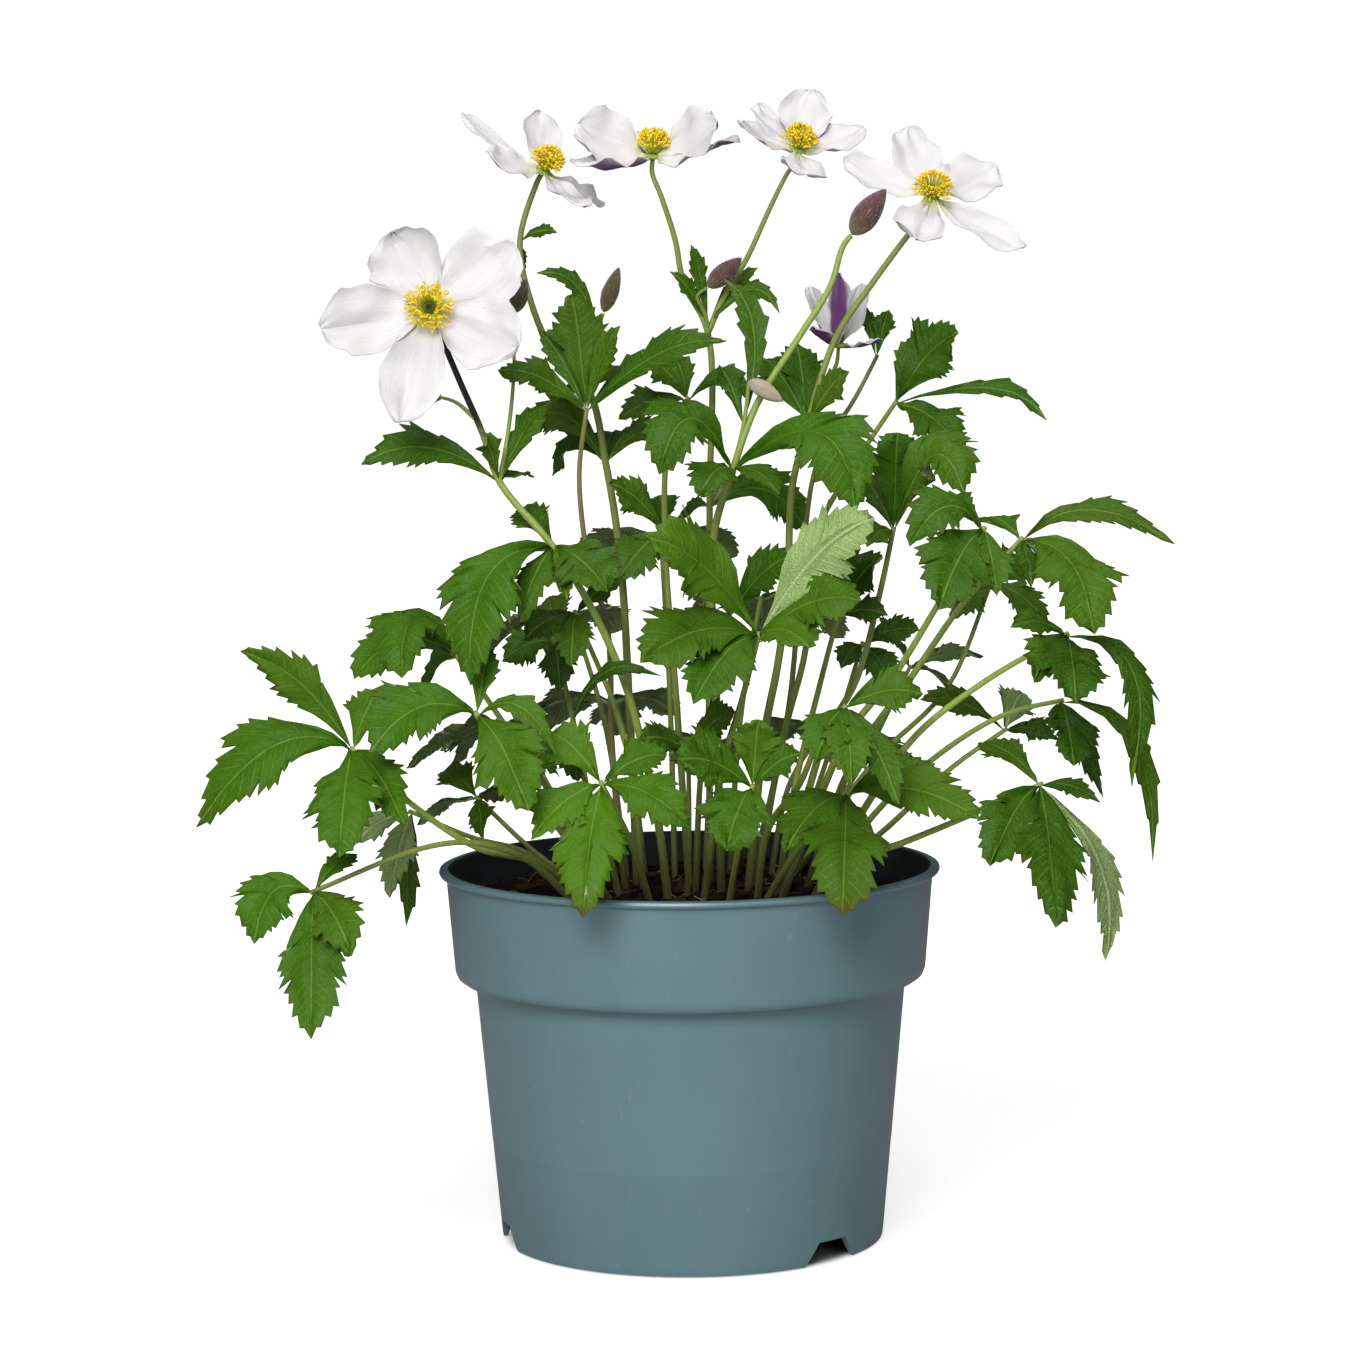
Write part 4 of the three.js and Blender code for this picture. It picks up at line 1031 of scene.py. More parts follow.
bud_skin = Finish("bud_sepals", roughness=0.75, specular=0.25, Sheen_Weight=0.35)
tone, lap, rise = bud_skin.shade()
streak = bud_skin.clouds(1.5, 3, (1, 0.2, 1), vector=bud_skin.map("flat"))
cloud = bud_skin.clouds(300, 3)
plum = cloud.mix(paint("#482a30"), paint("#684640"))
plum = (streak.step(0.5, 0.7) * 0.45).mix(plum, paint("#8d7466"))
plum = ((1 - rise.step(0.0, 0.45)) * 0.6).mix(plum, paint("#7d8450"))
plum = (lap.step(0.86, 1.0) * 0.5).mix(plum, paint("#a8a080"))
plum = (tone.step(0.5, 1.0) * 0.85).mix(plum, paint("#b9a896"))
plum = ((1 - tone.step(0.0, 0.5)) * 0.7).mix(plum, paint("#4c5426"))
BUD_SKIN = bud_skin.feed(Base_Color=plum, Roughness=cloud * 0.2 + 0.62,
                         Normal=bud_skin.bump(streak + cloud, 0.0005, 0.7))
down = Finish("silky_down", roughness=0.6, specular=0.3)
wisp = down.clouds(500, 1)
DOWN = down.feed(Base_Color=wisp.mix(paint("#a89c8c"), paint("#d8d0c0")))

FLOWERS = [
    (1, (-95, -58, 353), (-0.08, -0.97, 0.2), 8, [
        ((-136, -66, 346), 22), ((-109, -50, 382), 24), ((-63, -52, 377), 25),
        ((-62, -66, 339), 23), ((-107, -72, 311), 21)]),
    (2, (-52, 4, 404), (0.42, -0.5, 0.76), 6, [
        ((-82, 8, 426), 9), ((-72, -12, 411), 14), ((-52, 22, 426), 15), ((-29, 12, 392), 12),
        ((-36, -20, 391), 12)]),
    (3, (-11, 12, 409), (0.05, -0.22, 0.97), 6, [
        ((-39, 4, 421), 20), ((-41, -12, 407), 18), ((13, -2, 422), 20), ((21, 10, 416), 20),
        ((-16, 46, 418), 22)]),
    (4, (43, 12, 411), (0.24, -0.48, 0.84), 6, [
        ((22, 2, 421), 16), ((28, 26, 428), 12), ((48, 30, 433), 18), ((68, 20, 419), 17),
        ((47, -16, 402), 17)]),
    (5, (93, -12, 393), (0.1, -0.72, 0.69), 7, [
        ((60, -4, 408), 14), ((84, 12, 419), 18), ((117, 8, 405), 20), ((128, -20, 374), 13),
        ((87, -34, 378), 18)]),
    (6, (58, 8, 338), (0.1, -0.12, 0.98), 0.8, [
        ((47, 14, 360), 13), ((59, 2, 365), 9), ((67, 16, 361), 12), ((74, 0, 340), 10),
        ((49, -4, 345), 9)]),
]
BUDS = [
    (1, (63, -20, 379), (76, -24, 396), 11), (2, (9, 6, 360), (22, 0, 371), 8.5),
    (3, (-30, 0, 351), (-24, -2, 368), 7),
]
SEATS = {}
for number, centre, axis, spread, rows in FLOWERS:
    SEATS[f"flower_{number}"] = (place(centre) - unit(axis) * 1.3, unit(axis))
for number, foot, tip, width in BUDS:
    way = unit(place(tip) - place(foot))
    SEATS[f"bud_{number}"] = (place(foot) - way * 0.3, way)


KNOB_TONES = {"flower_stem_1": 0.15, "flower_stem_6": 0.95}
TURNED_OVER = {
    ("leaf_centre_2", 0), ("flower_stem_5", 11), ("leaf_left_5", 0), ("leaf_left_5", 2),
    ("leaf_right_3", 3), ("leaf_right_7", 2), ("leaf_right_8", 1),
}
WILTED = {
    ("leaf_centre_1", 1): 1.0, ("leaf_centre_6", 0): 1.0, ("leaf_left_1", 0): 0.5,
    ("leaf_left_1", 1): 0.5, ("leaf_right_3", 0): 0.4, ("leaf_right_5", 3): 0.4,
}
WHORL_TONE = 0.42


def grown_blades(name, hub_point, rows, chance, tone, offset=0):
    blades = Growth()
    for order, (tip_point, width, *passing) in enumerate(rows):
        tip = place(tip_point)
        base = towards(hub_point, tip, 0.8)
        over = place(passing[0]) if passing else (base + tip) / 2 + np.array(
            (0, 0, 0.12 * np.linalg.norm(tip - base)))
        key = (name, order + offset)
        own = (min(1, max(0, tone + chance.gauss(0, 0.1))), max(0, chance.gauss(0.05, 0.1)))
        leaf_blade(blades, base, over, tip, width * LEAN, leaf_facing(base), leaf_form(width),
                   chance, own, key in TURNED_OVER, WILTED.get(key, 0.0))
    return thickened(blades, "blades", [LEAF_TOP, LEAF_UNDER], BLADE_THICKNESS)


for name, stem in FLOWER_STEMS.items():
    chance = random.Random(name)
    tint = STALK_TINTS[name]
    stalks = Growth()
    for order, (radius, bears, points) in enumerate(stem["stalks"]):
        path = [place(p) for p in points] if bears else risen(points)
        if order == 0:
            path = root_points(stem["root"], path[0]) + path
        if bears:
            seat, way = SEATS[bears]
            path += [seat - way * 5, seat]
        stalk(stalks, path, radius, tint, order == 0, 1.0 if bears == "flower_1" else 0.0)
    parts = [stalks.made("stalks", [STALK_SKIN])]
    for order, (at, rows) in enumerate(stem["whorls"]):
        parts.append(grown_blades(name, place(at), rows, chance, WHORL_TONE, 10 * order))
    knobs = Growth()
    for foot, tip, width in KNOBS.get(name, ()):
        egg_bud(knobs, place(foot), place(tip), width, chance, KNOB_TONES[name])
        downy_hairs(knobs, place(foot), place(tip), width, 60, chance)
    if knobs.points:
        parts.append(knobs.made("small_buds", [BUD_SKIN, DOWN]))
    finish_piece(joined(parts, name + "_grown"), name)


# The leaves that rise from the soil on stalks of their own: each blade is cut into toothed lobes,
# veined and a little puckered, paler beneath.
# Leaves on the left, toward the key light, are painted a lighter green and those on the right a
# darker one: painted light and shade. The exceptions paint the front leaf_centre_1 lighter and the
# leaves deep in the clump darker, as painted shade.
LEAF_PAINTED_LIGHT_BY_SIDE = {"left": 0.72, "centre": 0.55, "right": 0.4}
LEAF_PAINTED_LIGHT_AND_SHADE_EXCEPTIONS = {
    "leaf_centre_1": 0.95, "leaf_left_5": 0.3, "leaf_left_6": 0.3, "leaf_left_7": 0.15,
    "leaf_left_8": 0.15, "leaf_left_9": 0.2, "leaf_centre_4": 0.3, "leaf_centre_5": 0.35,
    "leaf_centre_7": 0.3,
    "leaf_right_4": 0.25, "leaf_right_8": 0.25, "leaf_right_10": 0.2, "leaf_right_11": 0.2,
}
LEAVES = {
    "leaf_left_1": {
        "root": (-38, -16),
        "radius": 1.7,
        "points": [
            (-57, -30, 143), (-80, -44, 149), (-105, -55, 166), (-127, -60, 187),
        ],
        "blades": [
            ((-169, -75, 225), 16, (-146, -66, 212)), ((-187, -72, 158), 26, (-156, -68, 189)),
            ((-133, -105, 146), 23), ((-108, -90, 158), 16), ((-116, -42, 210), 16),
        ],
    },
    "leaf_left_2": {
        "root": (-28, -30),
        "radius": 1.7,
        "points": [
            (-45, -45, 150), (-65, -60, 178), (-80, -70, 200),
        ],
        "blades": [
            ((-121, -88, 186), 26, (-101, -80, 203)), ((-61, -100, 163), 22),
            ((-50, -78, 184), 10, (-64, -76, 203)), ((-74, -60, 225), 11),
        ],
    },
    "leaf_left_3": {
        "root": (-35, -3),
        "radius": 1.6,
        "points": [
            (-50, -8, 165), (-72, -14, 200), (-87, -20, 222),
        ],
        "blades": [
            ((-126, -10, 214), 20, (-107, -14, 229)), ((-108, -48, 214), 24, (-103, -36, 236)),
            ((-100, 14, 210), 17), ((-76, 2, 240), 13),
        ],
    },
    "leaf_left_4": {
        "root": (-42, -27),
        "radius": 1.5,
        "points": [
            (-61, -42, 144), (-82, -58, 151), (-102, -70, 149), (-143, -87, 133),
        ],
        "blades": [
            ((-166, -95, 113), 20, (-158, -92, 133)), ((-145, -112, 76), 22),
            ((-129, -112, 108), 18), ((-126, -70, 147), 12),
        ],
    },
    "leaf_left_5": {
        "root": (-44, 4),
        "radius": 1.4,
        "points": [
            (-62, -4, 147), (-82, -14, 153), (-105, -28, 163),
        ],
        "blades": [
            ((-114, -46, 130), 14), ((-108, -14, 119), 11), ((-128, -22, 150), 12),
        ],
    },
    "leaf_left_6": {
        "root": (-17, -12),
        "radius": 1.5,
        "points": [
            (-24, -16, 190), (-42, -26, 238),
        ],
        "blades": [
            ((-62, -36, 228), 15), ((-44, -48, 218), 14), ((-24, -34, 250), 12),
        ],
    },
    "leaf_left_7": {
        "root": (-33, 8),
        "radius": 1.5,
        "points": [
            (-40, 8, 180), (-50, 6, 228),
        ],
        "blades": [
            ((-70, 4, 220), 16), ((-48, -12, 208), 13), ((-52, 28, 244), 15),
        ],
    },
    "leaf_left_8": {
        "root": (-26, -15),
        "radius": 1.5,
        "points": [
            (-34, -18, 160), (-46, -24, 190),
        ],
        "blades": [
            ((-64, -30, 176), 18), ((-42, -44, 174), 13), ((-10, -46, 214), 7, (-32, -43, 215)),
        ],
    },
    "leaf_left_9": {
        "root": (-38, 18),
        "radius": 1.5,
        "points": [
            (-56, 28, 145), (-80, 40, 168),
        ],
        "blades": [
            ((-103, 44, 158), 15), ((-78, 24, 152), 12), ((-70, 64, 168), 14),
            ((-94, 62, 178), 13),
        ],
    },
    "leaf_centre_1": {
        "root": (-14, -38),
        "radius": 1.7,
        "points": [
            (-22, -56, 150), (-33, -75, 173),
        ],
        "blades": [
            ((-60, -92, 152), 18), ((-41, -112, 122), 24), ((0, -96, 156), 18),
            ((-8, -70, 184), 16), ((-53, -62, 193), 18),
        ],
    },
    "leaf_centre_2": {
        "root": (5, -30),
        "radius": 1.7,
        "points": [
            (13, -45, 180), (20, -55, 203), (27, -60, 229),
        ],
        "blades": [
            ((71, -75, 273), 24), ((-14, -85, 266), 28), ((-18, -95, 219), 24),
            ((2, -100, 203), 22), ((46, -90, 224), 20), ((66, -82, 242), 20),
        ],
    },
    "leaf_centre_3": {
        "root": (14, -42),
        "radius": 1.6,
        "points": [
            (19, -64, 150), (24, -85, 171),
        ],
        "blades": [
            ((-4, -100, 182), 22), ((27, -88, 197), 17), ((43, -92, 184), 12),
            ((14, -112, 147), 24),
        ],
    },
    "leaf_centre_4": {
        "root": (-1, -26),
        "radius": 1.4,
        "points": [
            (0, -36, 160), (0, -45, 185),
        ],
        "blades": [
            ((-18, -56, 190), 13), ((18, -56, 200), 13), ((2, -68, 176), 13),
        ],
    },
    "leaf_centre_5": {
        "root": (2, -10),
        "radius": 1.5,
        "points": [
            (6, -16, 190), (16, -32, 236),
        ],
        "blades": [
            ((4, -50, 262), 18), ((40, -44, 259), 18), ((22, -54, 240), 12),
        ],
    },
    "leaf_centre_6": {
        "root": (26, -38),
        "radius": 1.6,
        "points": [
            (42, -50, 148), (60, -60, 168),
        ],
        "blades": [
            ((58, -112, 122), 24), ((36, -96, 146), 18), ((110, -84, 158), 20),
            ((97, -54, 176), 14),
        ],
    },
    "leaf_centre_7": {
        "root": (33, -12),
        "radius": 1.6,
        "points": [
            (40, -18, 170), (50, -22, 210), (57, -28, 236),
        ],
        "blades": [
            ((74, -42, 258), 16), ((44, -42, 262), 13), ((76, -30, 236), 12),
        ],
    },
    "leaf_right_1": {
        "root": (35, -2),
        "radius": 1.7,
        "points": [
            (52, -8, 190), (64, -12, 212), (73, -16, 245), (78, -20, 268),
        ],
        "blades": [
            ((80, -26, 305), 20), ((105, -42, 281), 24, (93, -34, 296)), ((68, -40, 262), 12),
            ((64, -10, 291), 12),
        ],
    },
    "leaf_right_2": {
        "root": (34, -22),
        "radius": 1.7,
        "points": [
            (60, -40, 190), (78, -52, 213), (96, -62, 242), (112, -70, 268),
        ],
        "blades": [
            ((84, -85, 262), 18, (98, -80, 277)), ((95, -104, 238), 24), ((117, -92, 243), 15),
            ((94, -50, 281), 13),
        ],
    },
    "leaf_right_3": {
        "root": (43, -12),
        "radius": 1.7,
        "points": [
            (62, -25, 180), (85, -35, 213), (104, -42, 240), (126, -50, 264),
        ],
        "blades": [
            ((184, -60, 262), 13, (152, -55, 275)), ((154, -90, 228), 25, (144, -72, 256)),
            ((130, -66, 246), 12), ((138, -30, 248), 10), ((112, -26, 272), 14),
        ],
    },
    "leaf_right_4": {
        "root": (38, 24),
        "radius": 1.4,
        "points": [
            (70, 20, 180), (98, 17, 208), (115, 16, 248),
        ],
        "blades": [
            ((137, 5, 231), 16), ((100, -4, 234), 13), ((128, 40, 252), 15),
        ],
    },
    "leaf_right_5": {
        "root": (45, -25),
        "radius": 1.7,
        "points": [
            (65, -38, 160), (86, -48, 190), (113, -55, 211), (143, -60, 228),
        ],
        "blades": [
            ((122, -78, 231), 12), ((131, -84, 210), 16), ((147, -92, 202), 20),
            ((168, -66, 170), 13, (168, -62, 214)),
        ],
    },
    "leaf_right_6": {
        "root": (49, 0),
        "radius": 1.5,
        "points": [
            (70, -12, 160), (95, -20, 183), (120, -26, 198), (141, -30, 203),
        ],
        "blades": [
            ((146, -54, 178), 20), ((176, -36, 141), 11, (168, -33, 188)), ((157, -16, 166), 13),
        ],
    },
    "leaf_right_7": {
        "root": (43, -37),
        "radius": 1.7,
        "points": [
            (60, -44, 142), (80, -52, 149), (105, -60, 159), (133, -70, 171),
        ],
        "blades": [
            ((114, -98, 140), 20), ((139, -114, 116), 26), ((158, -62, 103), 13, (156, -66, 140)),
            ((110, -46, 187), 14), ((156, -80, 164), 12),
        ],
    },
    "leaf_right_8": {
        "root": (47, 13),
        "radius": 1.5,
        "points": [
            (75, 14, 155), (100, 18, 178), (120, 20, 192),
        ],
        "blades": [
            ((140, 12, 188), 13), ((127, 34, 206), 14), ((88, 6, 204), 13),
        ],
    },
    "leaf_right_9": {
        "root": (25, -25),
        "radius": 1.6,
        "points": [
            (30, -34, 155), (42, -52, 172), (50, -66, 190), (59, -75, 201),
        ],
        "blades": [
            ((48, -104, 180), 17), ((62, -108, 172), 16), ((80, -98, 164), 14),
            ((89, -72, 206), 17),
        ],
    },
    "leaf_right_10": {
        "root": (35, 12),
        "radius": 1.4,
        "points": [
            (52, 10, 180), (66, 2, 225),
        ],
        "blades": [
            ((58, -14, 216), 11), ((78, -12, 208), 13), ((88, -2, 230), 13),
        ],
    },
    "leaf_right_11": {
        "root": (32, 33),
        "radius": 1.4,
        "points": [
            (60, 36, 170), (84, 40, 216),
        ],
        "blades": [
            ((112, 34, 220), 14), ((98, 60, 208), 14), ((74, 62, 232), 14),
        ],
    },
}
for name, leaf in LEAVES.items():
    chance = random.Random(name)
    tone = LEAF_PAINTED_LIGHT_AND_SHADE_EXCEPTIONS.get(name, LEAF_PAINTED_LIGHT_BY_SIDE[name.split("_")[1]])
    path = risen(leaf["points"])
    stalks = Growth()
    stalk(stalks, root_points(leaf["root"], path[0]) + path, leaf["radius"],
          (chance.uniform(0.55, 0.95), chance.uniform(0, 0.15), chance.uniform(0, 0.1)), True)
    hub = place(leaf["points"][-1])
    parts = [stalks.made("stalk", [STALK_SKIN]),
             grown_blades(name, hub, leaf["blades"], chance, tone)]
    finish_piece(joined(parts, name + "_grown"), name)


# The far side's leaves, which the photograph doesn't show: seven more of the same cut leaf, on
# stalks that rise from the soil, spread round the back of the plant.
BACK_LEAVES = [
    (50, 80, 184, 49), (64, 66, 238, 35), (82, 78, 178, 46), (100, 56, 262, 32),
    (112, 80, 196, 46), (132, 66, 232, 36), (149, 82, 190, 52),
]
BACK_BLADES = [(-72, 34, 18, 8), (-28, 42, 22, 18), (24, 40, 22, 16), (74, 34, 18, 6)]


def around(azimuth, reach, height):
    angle = math.radians(azimuth)
    return np.array((reach * math.cos(angle), reach * math.sin(angle), height))


for number, (azimuth, reach, height, crown) in enumerate(BACK_LEAVES, 1):
    name = f"leaf_back_{number}"
    chance = random.Random(name)
    hub = around(azimuth, reach, height)
    bend = around(azimuth, (reach + crown) / 2 - 4, (height + SOIL_HEIGHT) / 2 + 8)
    foot = around(azimuth, crown, 0)[:2]
    stalks = Growth()
    path = root_points(foot, bend) + [bend, towards(bend, hub, np.linalg.norm(hub - bend) + 1)]
    stalk(stalks, path, 1.5, (0.7, 0.1, 0.1), True)
    blades = Growth()
    for turn, length, width, droop in BACK_BLADES:
        tip = hub + around(azimuth + turn, length, -droop)
        base = towards(hub, tip, 0.8)
        over = (base + tip) / 2 + np.array((0, 0, 0.14 * length))
        own = (min(1, max(0, chance.gauss(0.35, 0.1))), 0.05)
        leaf_blade(blades, base, over, tip, width * 1.1, leaf_facing(hub), LOBE, chance, own)
    parts = [stalks.made("stalk", [STALK_SKIN]),
             thickened(blades, "blades", [LEAF_TOP, LEAF_UNDER], BLADE_THICKNESS)]
    finish_piece(joined(parts, name + "_grown"), name)


# The flowers: five broad petal-like sepals round a small green seat, pearly white with fine lilac
# veins, greenish at the claw and flushed purple behind.
PETAL_FORM = [
    (0, 0.0), (0.04, 0.09), (0.1, 0.17), (0.18, 0.26), (0.27, 0.345), (0.37, 0.42), (0.48, 0.475),
    (0.58, 0.5), (0.68, 0.495), (0.77, 0.46), (0.85, 0.395), (0.915, 0.3), (0.96, 0.2),
    (0.988, 0.1), (1, 0),
]
PETAL_ACROSS = (0.16, 0.32, 0.48, 0.64, 0.8, 0.92, 1.0)
PETAL_FLUSH = {1: 0.12, 2: 0.55, 3: 0.85, 4: 0.1, 5: 0.3, 6: 1.0}
PETAL_THICKNESS = 0.4
PETAL_CREASES = {(1, 0): "crease", (1, 4): "pointed", (1, 1): "folded", (5, 3): "pointed"}
PETAL_TWISTS = {(3, 0): 0.8, (3, 2): -0.8}
CLAW_RADIUS = 2.2


def petal(growth, base, over, tip, width, way, chance, flush, style, lay=0.0):
    length = np.linalg.norm(tip - base)
    cup = chance.uniform(0.1, 0.2)
    waves = [(chance.uniform(0.8, 1.8), chance.uniform(1.4, 2.8), chance.uniform(0, 6.3))
             for _ in range(2)]
    lop = [chance.uniform(0.95, 1.08) for _ in range(2)]
    seed = chance.uniform(0, 90)
    skew = chance.uniform(-0.05, 0.05)
    sharp = 1.5 if style == "pointed" else chance.uniform(0.75, 1.0)
    rib_along = [a - 0.12 * o for a, o in PETAL_FORM]
    along, out, veins = [*rib_along], [0] * len(rib_along), [(0, a) for a in rib_along]
    crease = 0.05 if style else 0.02
    height = [-crease * width * min(1, 4 * a * (1 - a) + 0.3 * a) for a in rib_along]
    for number, side in enumerate((1, -1)):
        strength, turns, start = waves[number]
        for a, o in PETAL_FORM[1:-1]:
            if a > 0.7:
                o = o * (1 - (sharp - 0.85) * (a - 0.7))
            o *= lop[number] * (1 + 0.03 * math.sin(9 * a * turns + start))
            nick = noise.noise(Vector((11 * a, 5 * number, seed))) * a
            o *= 1 + 0.14 * nick
            a = min(0.995, a * (1 + 0.05 * nick))
            for share in PETAL_ACROSS:
                here = a - 0.12 * o + 0.12 * o * share ** 1.5
                reach = o * share
                lift = cup * width * (2 * reach) ** 2 * (1 - 0.6 * here)
                lift += 0.05 * width * strength * share ** 3 * math.sin(6.3 * here * turns + start)
                lift += 0.012 * width * math.sin(17 * side * share + 2 * start) * here
                lift += 0.12 * width * noise.noise(Vector((3.2 * here, 1.8 * side * share, seed)))
                lift += side * lay * reach * width
                if style == "folded" and side == 1:
                    lift += 0.25 * width * max(0, share - 0.6) * here
                along.append(here)
                out.append(side * reach + skew * here * (1 - here))
                height.append(lift - crease * width * (1 - share) ** 2)
                veins.append((side * share, here))
    points, sideways, up = rib_frame(base, over, tip, along, way, chance.uniform(-0.15, 0.15))
    out, height = np.array(out) * width, np.array(height)
    points = points + sideways * out[:, None] + up * height[:, None]
    flat = [(a * length, o) for a, o in zip(along, out)]
    faces = woven(len(PETAL_FORM), len(PETAL_ACROSS))
    growth.add(points, faces, veins, flat, [(flush, a, 0) for a in along])


petal_face = Finish("petal_face", roughness=0.55, specular=0.3)
across, along, _ = petal_face.parts(petal_face.map("veins"))
fan = petal_face.start.node("ShaderNodeCombineXYZ", {}, {0: across * 9, 1: along * 1.3})
vein_noise = petal_face.clouds(1.0, 2, vector=fan)
vein_line = 1 - (vein_noise - 0.5).sum("ABSOLUTE", vein_noise - 0.5).step(0.0, 0.035)
cloud = petal_face.clouds(90, 3)
white = cloud.mix(paint("#cfcdcf"), paint("#dddbda"))
white = (vein_line * 0.3 * (1 - along * 0.5)).mix(white, paint("#b5aabf"))
white = ((1 - along.step(0.0, 0.26)) * 0.75).mix(white, paint("#dcdf96"))
PETAL_FACE = petal_face.feed(Base_Color=white, Roughness=cloud * 0.2 + 0.45)
petal_back = Finish("petal_back", roughness=0.55, specular=0.3)
flush, _, _ = petal_back.shade()
across, along, _ = petal_back.parts(petal_back.map("veins"))
fan = petal_back.start.node("ShaderNodeCombineXYZ", {}, {0: across * 9, 1: along * 1.3})
vein_noise = petal_back.clouds(1.0, 2, vector=fan)
vein_line = 1 - (vein_noise - 0.5).sum("ABSOLUTE", vein_noise - 0.5).step(0.0, 0.05)
cloud = petal_back.clouds(60, 4)
white = cloud.mix(paint("#c9c3cd"), paint("#d6d2d8"))
stain = flush * (1 - across.sum("ABSOLUTE", across).step(0.6, 1.0)) * (0.7 + cloud * 0.8)
violet = cloud.mix(paint("#55295f"), paint("#7c4a80"))
white = stain.sum("MINIMUM", stain, 1.0).mix(white, violet)
white = (vein_line * 0.35).mix(white, paint("#8f6f9c"))
white = ((1 - along.step(0.0, 0.16)) * 0.6).mix(white, paint("#b9bf7c"))
PETAL_BACK = petal_back.feed(Base_Color=white, Roughness=cloud * 0.2 + 0.5)

for number, centre, axis, spread, rows in FLOWERS:
    chance = random.Random(number)
    middle = place(centre)
    way = unit(axis)
    blades = Growth()
    stretch = 1.16 if number == 1 else 1.06
    for order, (tip_point, width) in enumerate(rows):
        tip = place(tip_point)
        outward = tip - middle
        outward -= way * np.dot(outward, way)
        claw = middle + unit(outward) * CLAW_RADIUS
        claw = claw + way * 0.25 * (order % 3 - 1)
        over = (claw + tip) / 2 - way * 0.06 * np.linalg.norm(tip - middle)
        petal(blades, claw - unit(outward) * 0.8, over, tip, width * stretch, way, chance,
              PETAL_FLUSH[number], PETAL_CREASES.get((number, order)),
              PETAL_TWISTS.get((number, order), 0.0))
    clear_selection()
    bpy.ops.mesh.primitive_uv_sphere_add(segments=28, ring_count=12, radius=3.1 * MM)
    seat = bpy.context.object
    turn = Vector((0, 0, 1)).rotation_difference(Vector(way)).to_matrix().to_4x4()
    seat.data.transform(Matrix.Translation(Vector(middle) * MM) @ turn
                        @ Matrix.Diagonal((1, 1, 0.4, 1)))
    seat.data.materials.append(STALK_SKIN)
    tint = seat.data.attributes.new("shade", "FLOAT_COLOR", "POINT")
    tint.data.foreach_set("color", [0.9, 0.0, 0.0, 1.0] * len(seat.data.vertices))
    work_on(seat)
    bpy.ops.object.shade_smooth()
    parts = [thickened(blades, "petals", [PETAL_FACE, PETAL_BACK], PETAL_THICKNESS), seat]
    node = f"petals_{number}"
    finish_piece(joined(parts, node + "_grown"), node)


# The heart of each flower: a low dome of tiny green carpels, and a ring of fine yellow stamens,
# each a thread with a golden anther across its end.
STAMEN_COUNTS = {1: 210, 2: 190, 3: 190, 4: 170, 5: 180, 6: 26}
STAMEN_RISE = {1: 6.4, 2: 8.0, 3: 8.6, 4: 7.6, 5: 7.4, 6: 5.0}
CARPEL_COUNT = 70
GOLDEN_ANGLE = 2.39996

thread = Finish("filament", roughness=0.6, specular=0.3)
_, rise, _ = thread.shade()
FILAMENT = thread.feed(Base_Color=rise.mix(paint("#c9d446"), paint("#efe23c")))
grains = Finish("anther", roughness=0.8, specular=0.2)
tone, _, _ = grains.shade()
dust = grains.clouds(2500, 2)
gold = tone.mix(paint("#e8bd08"), paint("#ffe63c"))
ANTHER = grains.feed(Base_Color=(dust * 0.2).mix(gold, paint("#b88a00")),
                     Normal=grains.bump(dust, 0.0002, 0.6))
heart_skin = Finish("carpels", roughness=0.6, specular=0.35)
_, rise, _ = heart_skin.shade()
CARPELS = heart_skin.feed(Base_Color=rise.mix(paint("#7a8426"), paint("#3f3d18")))


def carpel_dome(growth, seat, way, side, other, radius):
    """Tiny pointed carpels set spirally over a dome, each a bead of few faces."""
    for index in range(CARPEL_COUNT):
        tilt = math.acos(1 - (index + 0.5) / CARPEL_COUNT)
        turn = index * GOLDEN_ANGLE
        out = side * math.cos(turn) + other * math.sin(turn)
        aim = unit(way * math.cos(tilt) + out * math.sin(tilt))
        heel = seat + out * math.sin(tilt) * radius * 0.7 + way * (0.6 + 2.4 * math.cos(tilt))
        line = [heel, heel + aim * 0.45, heel + aim * 0.85, heel + aim * 1.05]
        growth.tube(line, [0.28, 0.36, 0.2, 0.05], 5, [(0.5, math.cos(tilt) ** 2, 0)] * 4)
    core = [seat, seat + way * 1.6, seat + way * 2.6, seat + way * 3.1]
    growth.tube(core, [radius * 0.75, radius * 0.8, radius * 0.55, radius * 0.2], 12,
                [(0.5, 0.6, 0)] * 4)


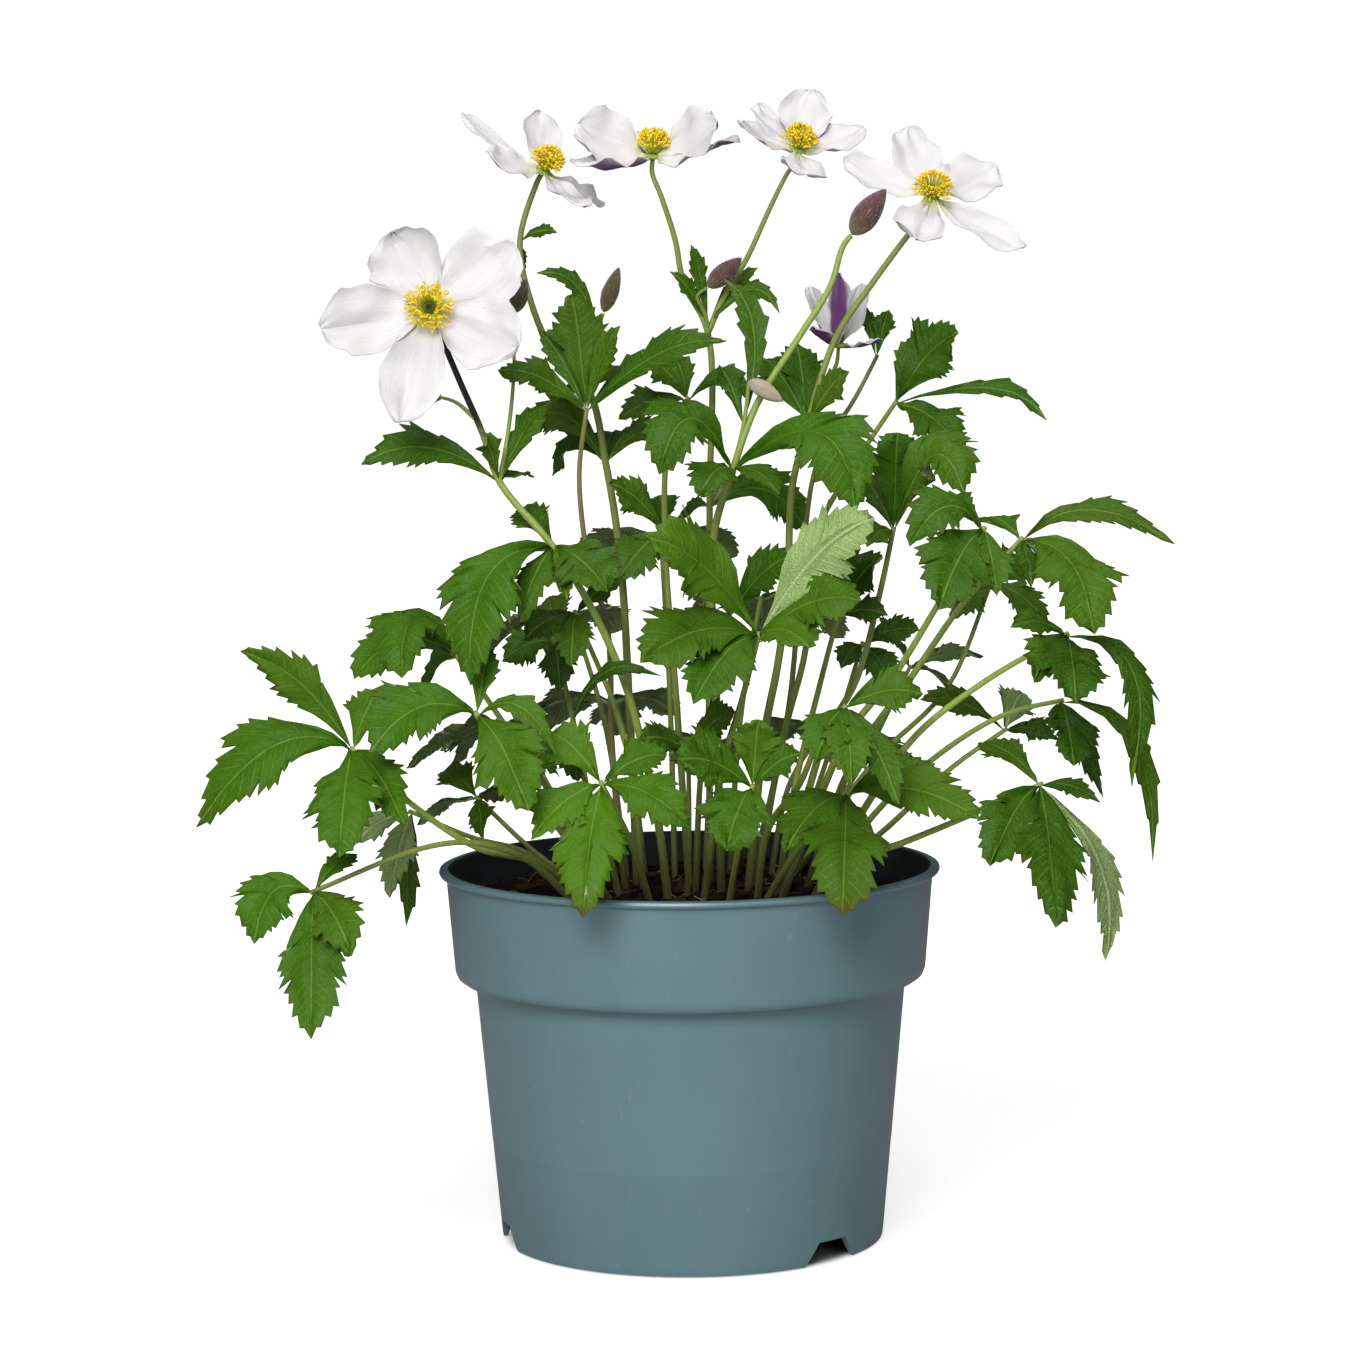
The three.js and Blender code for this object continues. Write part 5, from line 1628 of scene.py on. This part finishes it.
for number, centre, axis, spread, rows in FLOWERS:
    chance = random.Random(number + 50)
    way = unit(axis)
    seat = place(centre) + way * 1.3
    side = unit(np.cross(way, (0.3, 0.8, 0.2)))
    other = np.cross(way, side)
    closed = number == 6
    width = 0.9 if closed else spread * 1.1
    heart, threads, tips = Growth(), Growth(), Growth()
    carpel_dome(heart, seat, way, side, other, 1.3 if closed else 2.1)
    for index in range(STAMEN_COUNTS[number]):
        angle = index * GOLDEN_ANGLE + chance.gauss(0, 0.1)
        lean = chance.uniform(0.05, 1.0)
        out = side * math.cos(angle) + other * math.sin(angle)
        reach = width * (0.4 + 0.62 * lean) * chance.uniform(0.88, 1.06)
        rise = STAMEN_RISE[number] * (1 - 0.6 * lean * lean) * chance.uniform(0.88, 1.06)
        heel = seat + out * (1.0 if closed else 2.0) + way * 0.2
        head = seat + out * reach + way * rise
        bow = (heel + head) / 2 + way * 0.12 * reach - out * 0.05 * reach
        line = smooth_line([heel, bow, head], 2)
        shades = [(0.5, s, 0) for s in np.linspace(0, 1, len(line))]
        threads.tube(line, [0.13] * len(line), 3, shades)
        aim = unit(head - bow + np.array([chance.gauss(0, 0.35) for _ in range(3)]) * 3)
        bead = [head - aim * 0.75, head - aim * 0.4, head + aim * 0.4, head + aim * 0.75]
        tips.tube(bead, [0.1, 0.36, 0.36, 0.1], 5, [(chance.random(), 0, 0)] * 4)
    node = f"stamens_{number}"
    parts = [heart.made("heart", [CARPELS]), threads.made("threads", [FILAMENT]),
             tips.made("tips", [ANTHER])]
    finish_piece(joined(parts, node + "_grown"), node)


# The closed buds: plum-brown sepals lapped into an egg, covered in silky down, each on the end
# of its wiry stalk.
BUD_TONES = {1: 0.5, 2: 0.5, 3: 0.12}

for number, foot_point, tip_point, width in BUDS:
    chance = random.Random(number + 90)
    foot, tip = place(foot_point), place(tip_point)
    body = Growth()
    egg_bud(body, foot, tip, width, chance, BUD_TONES[number])
    downy_hairs(body, foot, tip, width, 260, chance)
    node = f"bud_{number}"
    finish_piece(body.made(node + "_grown", [BUD_SKIN, DOWN]), node)
